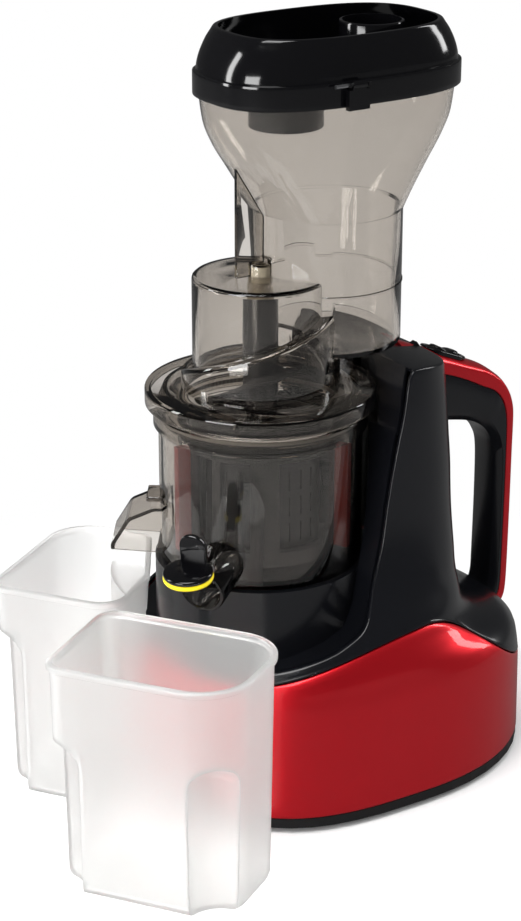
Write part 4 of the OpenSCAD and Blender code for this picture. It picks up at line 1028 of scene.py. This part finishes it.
# %% Cap
DISC_Z = 5.2            # underside of the black disc, over the hinge


def at_disc(points):
    """Points about the disc's middle, which lies HINGE_UP in front of the hinge."""
    return at_cap(points - [0, HINGE_UP, 0])


lid = bar_along([[13.2, DISC_Z], [14.0, DISC_Z + 0.3], [14.2, DISC_Z + 0.9], [14.2, DISC_Z + 1.8],
                 [13.7, DISC_Z + 2.5], [12.8, DISC_Z + 2.8]], at_disc, 96)
barrel = bar_along([[2.4, -4.9], [2.6, -4.6], [2.6, 4.6], [2.4, 4.9]], on_its_side(at_cap), 40)
arm = brick(-4.9, 4.9, -3, 0, 2, 7.2, at_cap)
root = brick(-4.9, 4.9, -6, -1, DISC_Z, DISC_Z + 2.8, at_cap)
stem = brick(-8, 8, -9, -6, 7, 18, at_cap, 0.7)
tab = bar_along([[7.3, -9], [7.9, -8.5], [8.0, -7.8], [8.0, -7.2], [7.9, -6.5], [7.3, -6]],
                lambda p: at_cap(np.stack([p[..., 0], p[..., 2], p[..., 1] + 18], -1)), 64)
cap = solid("cap_lever", [lid, barrel, arm, root, stem, tab],
            [bar_along([[1.55, -12], [1.55, 12]], on_its_side(at_cap), 24)], 40)
piece(cap, ["spout_cap"], "cap", gloss_abs)

# %% Seal of the cap
under = bar_along([[7.9, 0], [8.4, 0.3], [8.5, 0.8], [8.5, 2.1], [13.2, 2.1], [14.0, 2.5], [14.4, 3.3],
                   [14.4, 4.2], [14.0, 4.9], [13.2, DISC_Z]], at_disc, 96)
under.name = under.data.name = "cap_seal"
piece(under, ["spout_seal"], "cap", yellow_silicone, 40)

# %% [markdown]
# ## The drum and its hopper
# One clear moulding: a flange that covers the bowl, a low chamber whose roof climbs as a ramp, a
# small chamber with a flat top, the round feed tube behind it, and the hopper that widens into a
# long oval. As with the bowl, the outsides are joined to one solid, and the insides, one wall
# smaller, to another that is taken away. The ramp is not a turned shape: its roof's height grows
# with the angle about the axis, so it gets a function of its own.


# %% Ramp
RAMP_START = 237.0                      # the angle in degrees at which the ramp starts
RAMP_LOW, RAMP_RISE = 9.0, 45.0         # its lowest roof over the flange, and how far it climbs


def ramp_solid(radius, z0, lift, lag):
    """The chamber under the ramp, from z0 up, with its roof raised by lift.

    The roof climbs by RAMP_RISE times the share of half a turn gone since RAMP_START, and is low over
    the other half. lag holds each of its two steep risers back by so many degrees.
    """
    risers = [RAMP_START - 0.2 + lag, RAMP_START + 0.2 + lag,
              RAMP_START - 180.2 - lag, RAMP_START - 179.8 - lag]
    d = np.sort(np.concatenate([np.linspace(0, 360, 241)[:-1], risers]))
    t = ((d - RAMP_START - lag) % 360) / (180 - 2 * lag)
    top = FLANGE + RAMP_LOW + lift + np.where(t <= 1, RAMP_RISE * ((d - RAMP_START) % 360) / 180, 0)
    low = np.full(len(d), z0)
    rho = np.array([12.0, radius, radius, radius - 0.5, radius - 1.6, 12.0])
    high = np.stack([low, low, top - 1.6, top - 0.5, top, top], 1)
    a = np.radians(d)[:, None]
    return tube_of(np.stack([rho * np.cos(a), rho * np.sin(a), high], -1), "ramp", closed=True)


print("ramp from", FLANGE + RAMP_LOW, "up to", FLANGE + RAMP_LOW + RAMP_RISE, "mm")

# %% Outside of the drum and hopper
# [height, half width, front, rear, power of the oval in front, and behind]
HOPPER = np.array([[348, 44.9, 1.1, 90.9, 2, 2], [358, 45.3, -4.9, 96.9, 2.1, 2.1],
                   [374, 45.9, -14.9, 106.9, 2.3, 2.3], [388, 46.5, -23.4, 115.4, 2.5, 2.5],
                   [401, 47.1, -28.4, 120.4, 2.7, 2.7], [419, 47.1, -31.1, 123.1, 2.8, 2.8]])
TUBE = (0, TUBE_Y)
shell = lofted(HOPPER, np.concatenate([np.linspace(348, 418.2, 40), [418.8, 419]]), 0.0, 144)
shell[-1, :, :2] = TUBE + (shell[-1, :, :2] - TUBE) * 0.992             # the rim's edge is broken
skirt = [[64, 235.7, 0.3], [68.3, 235.7, 0.9], [68.3, 243.3, 0.1], [64, 243.3, 0.1]]
rim = [[54.6, 226.7, 0.4], [57.2, 226.7, 0.6], [57.2, 243.6, 0.1], [54.6, 243.6, 0.1]]
adds = [spindle([[66.9, 242.8], [68.3, 242.9], [68.3, 244.6], [67.8, 245.5], [66.6, 246]]),  # flange
        turned(rounded(skirt, steps=5), 144),
        turned(rounded(rim, steps=5), 144),
        ramp_solid(46.7, 245.0, 0.0, 0.0),
        spindle([[40, 245], [40, 310.5], [39.7, 311.8], [38.7, 312.7], [37.4, 313]]),       # chamber
        spindle([[42.5, 266.5], [43.9, 267.1], [44.5, 268.6], [44.5, 349]], 144, TUBE),
        tube_of(shell, "hopper"),
        spindle([[7.5, 305], [7.5, 319], [7.1, 319.8], [6.4, 320]], 48),                     # boss
        brick(-1.3, 1.3, -17, 3, 311, 378, soft=0.5),                                        # rib
        turned([[44.0, 302.6], [45.0, 303.4], [45.0, 304.2], [44.0, 305.0]], 144, TUBE)]     # ring
print(len(adds), "solids to join")

# %% Drum and hopper
z = np.linspace(347.0, 420.0, 42)
inner_shell = lofted(HOPPER, z, WALL, 144)
air = [spindle([[37.4, 234], [37.4, 309.2], [36.8, 310.2], [35.6, 310.4]]),
       ramp_solid(44.1, 234.0, -WALL, 3.0),
       spindle([[54.6, 222], [54.6, 243.0]]),
       spindle([[40.4, 269.1], [41.5, 269.6], [41.9, 270.8], [41.9, 350]], 144, TUBE),
       tube_of(inner_shell, "air")]
void = solid("void", air, [spindle([[7.5, 301], [7.5, 322]], 48)])
drum = solid("clear_drum", adds, [void, spindle([[5.6, 299], [5.6, 318]], 48)], 30)
piece(drum, ["hopper_drum", "feed_hopper"], "drum", smoke)

# %% [markdown]
# ## The tray
# A glossy black tray that presses over the hopper: a straight band, a wall that leans in above it,
# a floor with the short collar that leads down, and a round pipe for the small opening. It could be
# a sheet with thickness, but its inside does not follow its outside, because the band is hollow
# under the floor. So two rooms are taken out of one oval block, above and below the floor.

# %% Shell of the tray
# [height over the underside, half width, half length]
TRAY_SHAPE = [[0, 50, 80], [14.3, 50, 80], [14.6, 48.6, 78.2], [18, 48.4, 77.5], [23, 47.8, 76],
              [31, 46.4, 72], [36.5, 44.8, 68], [38, 44.4, 67]]
tray_rows = np.array([[TRAY + h, w, TUBE_Y - l, TUBE_Y + l, 2.8, 2.8] for h, w, l in TRAY_SHAPE])
z = TRAY + np.concatenate([[0, 0.5], np.linspace(1.2, 13.4, 8), [14.0, 14.3, 14.6, 15.2],
                           np.linspace(16, 37, 20), [37.7, 38]])
skin = lofted(tray_rows, z, 0.0, 160)
for row, pull in ((0, 0.990), (1, 0.998), (10, 0.998), (11, 0.990), (-2, 0.997), (-1, 0.990)):
    skin[row, :, :2] = TUBE + (skin[row, :, :2] - TUBE) * pull          # rounds the three edges
room = lofted(tray_rows, TRAY + np.concatenate([np.linspace(8.2, 14, 5), np.linspace(15, 39, 20)]),
              WALL, 160)
z = TRAY + np.array([-1, 2, 5.6])
under = lofted(tray_rows, np.clip(z, TRAY + 0.1, None), WALL, 160)
under[..., 2] = z[:, None]
tray = solid("tray_shell", [tube_of(skin, "tray")], [tube_of(room, "room"), tube_of(under, "under")])

# %% Tray
# The collar, the pipe and the latch's two ears are joined to the hollow shell, and then drilled.
COLLAR, PIPE = (0, 17), (0, 76)         # their middles, seen from above
LATCH_X, LATCH_Y, LATCH_Z = 53, 30, TRAY + 13.2


def at_latch(p):
    """The frame of the latch's pin, which lies from front to back."""
    return np.stack([LATCH_X + p[..., 0], LATCH_Y + p[..., 2], LATCH_Z + p[..., 1]], -1)


adds = [spindle([[21.2, 398.2], [21.5, 398.6], [21.5, 424]], 96, COLLAR),
        spindle([[19, 423], [19, 451.6], [18.7, 452.3], [18.1, 452.6]], 96, PIPE)]
adds += [brick(48, 54.8, LATCH_Y + y, LATCH_Y + 2.2 + y, TRAY + 11.9, TRAY + 14.5, soft=0.3)
         for y in (-7.6, 5.4)]
cuts = [spindle([[19.7, 390], [19.7, 460]], 96, COLLAR), spindle([[17.2, 410], [17.2, 460]], 96, PIPE),
        bar_along([[1.2, -20], [1.2, 20]], at_latch, 24)]
tray = solid("tray_shell", [tray] + adds, cuts)
piece(tray, ["feed_tray"], "tray", gloss_abs)

# %% [markdown]
# ## The cups
# Two milky cups stand in front of the spouts. Their walls lean out by a degree, so their outline is
# drawn in towards the foot. The juice cup has two upright grooves to hold it by and the pulp cup
# one, and the pulp cup is also hollowed where the body stands. Solidify would pinch its wall in the
# grooves' corners, and milky plastic shows how thick it is. So each cup is a solid less the same
# solid one wall smaller, with every recess taken out of both.


# %% Outline of a cup
CUP_WALL = 1.8
LEAN = 2.4              # how much further out each wall stands at the top than at the foot


def cup_solid(plan, height, inset, bottom, lip):
    """Rings of a plan of [x, y, radius]: rounded at the foot, leaning out, and with a lip if asked."""
    def lean(z):
        """How far the outline is drawn in at a height: it shrinks evenly from foot to top."""
        return inset + LEAN * (1 - z / height) + 0.3

    rows = [(bottom, lean(bottom) + 4.0), (bottom + 0.4, lean(bottom) + 2.2),
            (bottom + 1.6, lean(bottom) + 0.8), (bottom + 4.0, lean(bottom + 4))]
    rows += [(z, lean(z)) for z in np.linspace(bottom + 10, height - 6, 12)]
    if lip:
        rows += [(height - 4.4, lean(height)), (height - 4, -0.6), (height - 3.4, -1.4),
                 (height - 0.9, -1.5), (height - 0.3, -1.1), (height, -0.3)]
    else:
        rows += [(height - 1, lean(height)), (height - 0.2, lean(height) - 0.5),
                 (height + 2, lean(height) - 2.0)]
    rings = [np.column_stack([even(rounded(plan, q, 14), 160), np.full(160, z)]) for z, q in rows]
    return tube_of(spun(np.stack(rings), OUTLET), "cup")


print("cup walls lean by", round(math.degrees(math.atan(LEAN / 140)), 2), "degrees")


# %% Recesses of the cups
def groove(x, y, radius, height):
    """An upright groove whose head is half an ellipse: radius cos(q) at 0.75 radius sin(q)."""
    q = np.linspace(0, math.pi / 2, 8)[:-1]
    rho = np.concatenate([[radius, radius], radius * np.cos(q), [1.0]])
    z = np.concatenate([[-2, 10], height - 0.75 * radius + 0.75 * radius * np.sin(q), [height]])
    return turned(np.column_stack([rho, z]), 64, (x, y), closed=False, place=lambda p: spun(p, OUTLET))


def body_block(grow, top):
    """The body's outline at the table, widened by grow and up to a height."""
    half, front, rear, power_front, power_rear = BODY[0][1:]
    o = oval(half + grow, front - grow, rear + grow, power_front, power_rear, 200)
    rings = [np.column_stack([o, np.full(200, z)]) for z in (-3.0, top - 3, top - 0.8, top)]
    return tube_of(np.stack(rings), "block")


def cup_of(name, plan, height, recesses):
    """A cup less its inside. Each recess is a function of how much it grows for the inner wall."""
    cup = cup_solid(plan, height, 0.0, 0.0, True)
    inner = cup_solid(plan, height, CUP_WALL, 2.4, False)
    for recess in recesses:
        combine(cup, recess(0), "DIFFERENCE")
        combine(inner, recess(CUP_WALL), "DIFFERENCE")
    return solid(name, [cup], [inner], 40)


print("recesses: groove() and body_block() are ready")

# %% Cups
cup = cup_of("cup_for_juice",
             [[-49, -113.4, 12], [65, -113.4, 26], [60, -193, 30], [-50, -193, 11]], 140.5,
             [lambda g: groove(-49, -192, 19 + g, 94 + g), lambda g: groove(54, -192, 19 + g, 94 + g)])
piece(cup, ["juice_cup"], "juice_cup", milky_pp)
cup = cup_of("cup_for_pulp",
             [[-131, -101, 11], [-131, 3, 25], [-75, 3, 8], [-51, -53, 8], [-49, -101, 16]], 136.0,
             [lambda g: groove(-131, -100, 19 + g, 106 + g), lambda g: body_block(2.5 + g, 113 + g)])
piece(cup, ["pulp_cup"], "pulp_cup", milky_pp)

# %% [markdown]
# ## The auger
# A cone with one long flight wound round it, a slim shaft and two wings. A Screw modifier makes
# flights, but not ones whose root follows a cone while the rim stays on a cylinder. So a flight is
# a small section carried along a helix: its angle grows evenly with its height, and its two radii
# change as they like.


# %% Flights
def flight(inner_r, outer_r, z0, height, start, sweep, thick, count=200):
    """A helical blade between two radii, each [at the foot, at the head].

    At a share t of the way it stands at z0 + height t and start + sweep t degrees. It is half as
    thick near its rim as at its root, and thins out over the last fourteenth of its length.
    """
    t = np.linspace(0, 1, count)
    a = np.radians(start + sweep * t)[:, None]
    ri = inner_r[0] + (inner_r[1] - inner_r[0]) * t
    ro = outer_r[0] + (outer_r[1] - outer_r[0]) * t
    fade = np.clip(np.minimum(t, 1 - t) * 14, 0.12, 1)
    h = thick * fade
    rho = np.stack([ri, ro - 0.6, ro, ro, ro - 0.6, ri], 1)
    z = (z0 + height * t)[:, None] + np.stack([-h / 2, -h / 4, -h / 6, h / 6, h / 4, h / 2], 1)
    return tube_of(np.stack([rho * np.cos(a), rho * np.sin(a), z], -1), "flight", sharp=40)


def gather(name, parts):
    """Several closed meshes as one object."""
    work = bmesh.new()
    for obj in parts:
        work.from_mesh(obj.data)
        bpy.data.objects.remove(obj)
    mesh = bpy.data.meshes.new(name)
    work.to_mesh(mesh)
    work.free()
    obj = bpy.data.objects.new(name, mesh)
    bpy.context.scene.collection.objects.link(obj)
    return obj


print("flights: one section carried along a helix")

# %% Auger
parts = [spindle([[9.9, 143], [9.9, 156], [26.6, 157], [27, 158.5], [13, 222.5], [10.5, 224.5],
                  [10.5, 298.5], [9.8, 299.7], [8.9, 300]], 96),
         flight([22, 11], [40.5, 40.5], 158.5, 69, 0, 560, 5.0, 320),
         flight([9, 9], [40.4, 40.4], 229.5, 20.5, 560, 110, 4.0, 90),
         flight([9, 9], [35.8, 35.8], 229.5, 33.5, 560, 160, 4.0, 120)]
auger = gather("auger_screw", parts)
piece(auger, ["auger_hub"], "auger", satin_abs, 40)

# %% [markdown]
# ## Camera
# The camera looks down by 21 degrees from the front right, about 1.5 m away: far enough that the
# tray's ovals and the cups' corners look as they do to someone who stands before the juicer.

# %% Camera
AZIMUTH, PITCH = math.radians(57.08), math.radians(21.36)
DISTANCE, HEIGHT = 1297.3, 704.4        # from the bowl's axis, and above the table
FOCAL, FRAME = 2336.8, 921              # focal length and picture height, both in pixels
SENSOR = 36.0
eye = metres([math.sin(AZIMUTH) * DISTANCE, -math.cos(AZIMUTH) * DISTANCE, HEIGHT])[0]
camera = bpy.data.objects.new("camera", bpy.data.cameras.new("camera"))
bpy.context.scene.collection.objects.link(camera)
camera.location = eye
camera.rotation_euler = (math.pi / 2 - PITCH, 0, AZIMUTH)
camera.data.sensor_fit = "VERTICAL"
camera.data.sensor_height = camera.data.sensor_width = SENSOR
camera.data.lens = FOCAL / FRAME * SENSOR
camera.data.clip_end = 20
bpy.context.scene.camera = camera
print("camera at", [round(c, 3) for c in eye], "lens", round(camera.data.lens, 2))

# %% [markdown]
# ## Floor, world and lamps
# A studio sweep is white behind the object, and yet its black plastic stays black, because little
# of the sweep is where it would be mirrored. A plain floor cannot do that, so the floor and the
# world ask what kind of ray looks at them. They are white to the camera, straight or through clear
# walls, dark in mirror reflections, and plain for the light that they throw back.


# %% What kind of ray looks
def looked_at(tree):
    """1 for rays from the camera, straight or through clear walls alone, and 0 for light off a surface.

    It is the greater of Is Camera Ray and Is Transmission Ray, where no bounce has come before.
    """
    path = add(tree, "ShaderNodeLightPath")
    seen = add(tree, "ShaderNodeMath", {"operation": "MAXIMUM"},
               links={0: path.outputs["Is Camera Ray"], 1: path.outputs["Is Transmission Ray"]})
    bounces = add(tree, "ShaderNodeMath", {"operation": "ADD"},
                  links={0: path.outputs["Diffuse Depth"], 1: path.outputs["Glossy Depth"]})
    none = add(tree, "ShaderNodeMath", {"operation": "LESS_THAN"}, {1: 0.5}, {0: bounces.outputs[0]})
    both = add(tree, "ShaderNodeMath", {"operation": "MULTIPLY"},
               links={0: seen.outputs[0], 1: none.outputs[0]})
    return both.outputs[0]


def mirrored(tree):
    """1 for rays that bounce off a glossy surface, and 0 for those that pass through one.

    A ray through a rough clear wall counts as both, so transmission is taken off gloss.
    """
    path = add(tree, "ShaderNodeLightPath")
    gloss = add(tree, "ShaderNodeMath", {"operation": "SUBTRACT", "use_clamp": True},
                links={0: path.outputs["Is Glossy Ray"], 1: path.outputs["Is Transmission Ray"]})
    return gloss.outputs[0]


print("rays are told apart by looked_at() and mirrored()")

# %% Floor
# Matte near the object, where its shadow falls, and fading to plain white between FADE's two
# distances from the middle, in metres.
FADE = (0.15, 0.45)
REACH = 4000            # half the floor's width
bpy.context.scene.view_settings.view_transform = "Standard"
corners = [[-REACH, -REACH, 0], [REACH, -REACH, 0], [REACH, REACH, 0], [-REACH, REACH, 0]]
floor = new_object("floor", corners, [[0, 1, 2, 3]])
floor.location.z = -0.0004              # just under the feet, so that the two do not flicker
white = bpy.data.materials.new("studio_floor")
white.use_nodes = True
t = white.node_tree
t.nodes.clear()
place = add(t, "ShaderNodeTexCoord").outputs["Object"]
away = add(t, "ShaderNodeVectorMath", {"operation": "LENGTH"}, links={0: place}).outputs["Value"]
far = add(t, "ShaderNodeMapRange", {"interpolation_type": "SMOOTHSTEP"},
          {"From Min": FADE[0], "From Max": FADE[1]}, {"Value": away})
glow = add(t, "ShaderNodeMath", {"operation": "MULTIPLY"},
           links={0: far.outputs["Result"], 1: looked_at(t)})
cover = add(t, "ShaderNodeMix", {"data_type": "RGBA"}, {"A": linear("#fafafa"), "B": linear("#7a7a7a")},
            {"Factor": mirrored(t)})
diffuse = add(t, "ShaderNodeBsdfDiffuse", links={"Color": cover.outputs["Result"]})
paper = add(t, "ShaderNodeEmission", inputs={"Color": (1, 1, 1, 1), "Strength": 1.0})
sheet = add(t, "ShaderNodeMixShader",
            links={0: glow.outputs[0], 1: diffuse.outputs[0], 2: paper.outputs[0]})
add(t, "ShaderNodeOutputMaterial", links={"Surface": sheet.outputs[0]})
paint(floor, white)
print("floor, white from", FADE[1], "m out")

# %% World
PLAIN, IN_MIRRORS = 0.7, 0.08           # the world's strength for plain light, and in mirrors
world = bpy.data.worlds.new("studio")
bpy.context.scene.world = world
world.use_nodes = True
t = world.node_tree
t.nodes.clear()
plain = add(t, "ShaderNodeMapRange", inputs={"To Min": PLAIN, "To Max": IN_MIRRORS},
            links={"Value": mirrored(t)})
strength = add(t, "ShaderNodeMapRange", inputs={"To Max": 1.0},
               links={"Value": looked_at(t), "To Min": plain.outputs[0]})
sky = add(t, "ShaderNodeBackground", inputs={"Color": (1, 1, 1, 1)},
          links={"Strength": strength.outputs[0]})
add(t, "ShaderNodeOutputWorld", links={"Surface": sky.outputs[0]})
print("world lights with", PLAIN, "and shows as white")


# %% Lamps
def lamp(name, place, target, size, power):
    """A soft lamp of size width x height at a place in metres, turned to its target."""
    light = bpy.data.lights.new(name, "AREA")
    light.shape, light.size, light.size_y, light.energy = "RECTANGLE", size[0], size[1], power
    obj = bpy.data.objects.new(name, light)
    bpy.context.scene.collection.objects.link(obj)
    obj.location = place
    obj.rotation_euler = (Vector(target) - Vector(place)).to_track_quat("-Z", "Y").to_euler()


lamp("front_soft", (0.55, -1.7, 0.55), (0, 0, 0.15), (0.9, 0.5), 17)     # opens up the red shell
lamp("tall_strip", (-0.9, -1.4, 0.8), (0, 0, 0.3), (0.3, 1.2), 14)       # draws the bowl's left edge
lamp("top", (0.2, -0.5, 1.9), (0, 0, 0.2), (0.9, 0.9), 18)               # shows the tray and the rims
lamp("back_strip", (0.3, 1.7, 1.0), (0, 0, 0.25), (0.3, 1.2), 10)        # parts the handle from white
print(len(bpy.data.lights), "lamps")
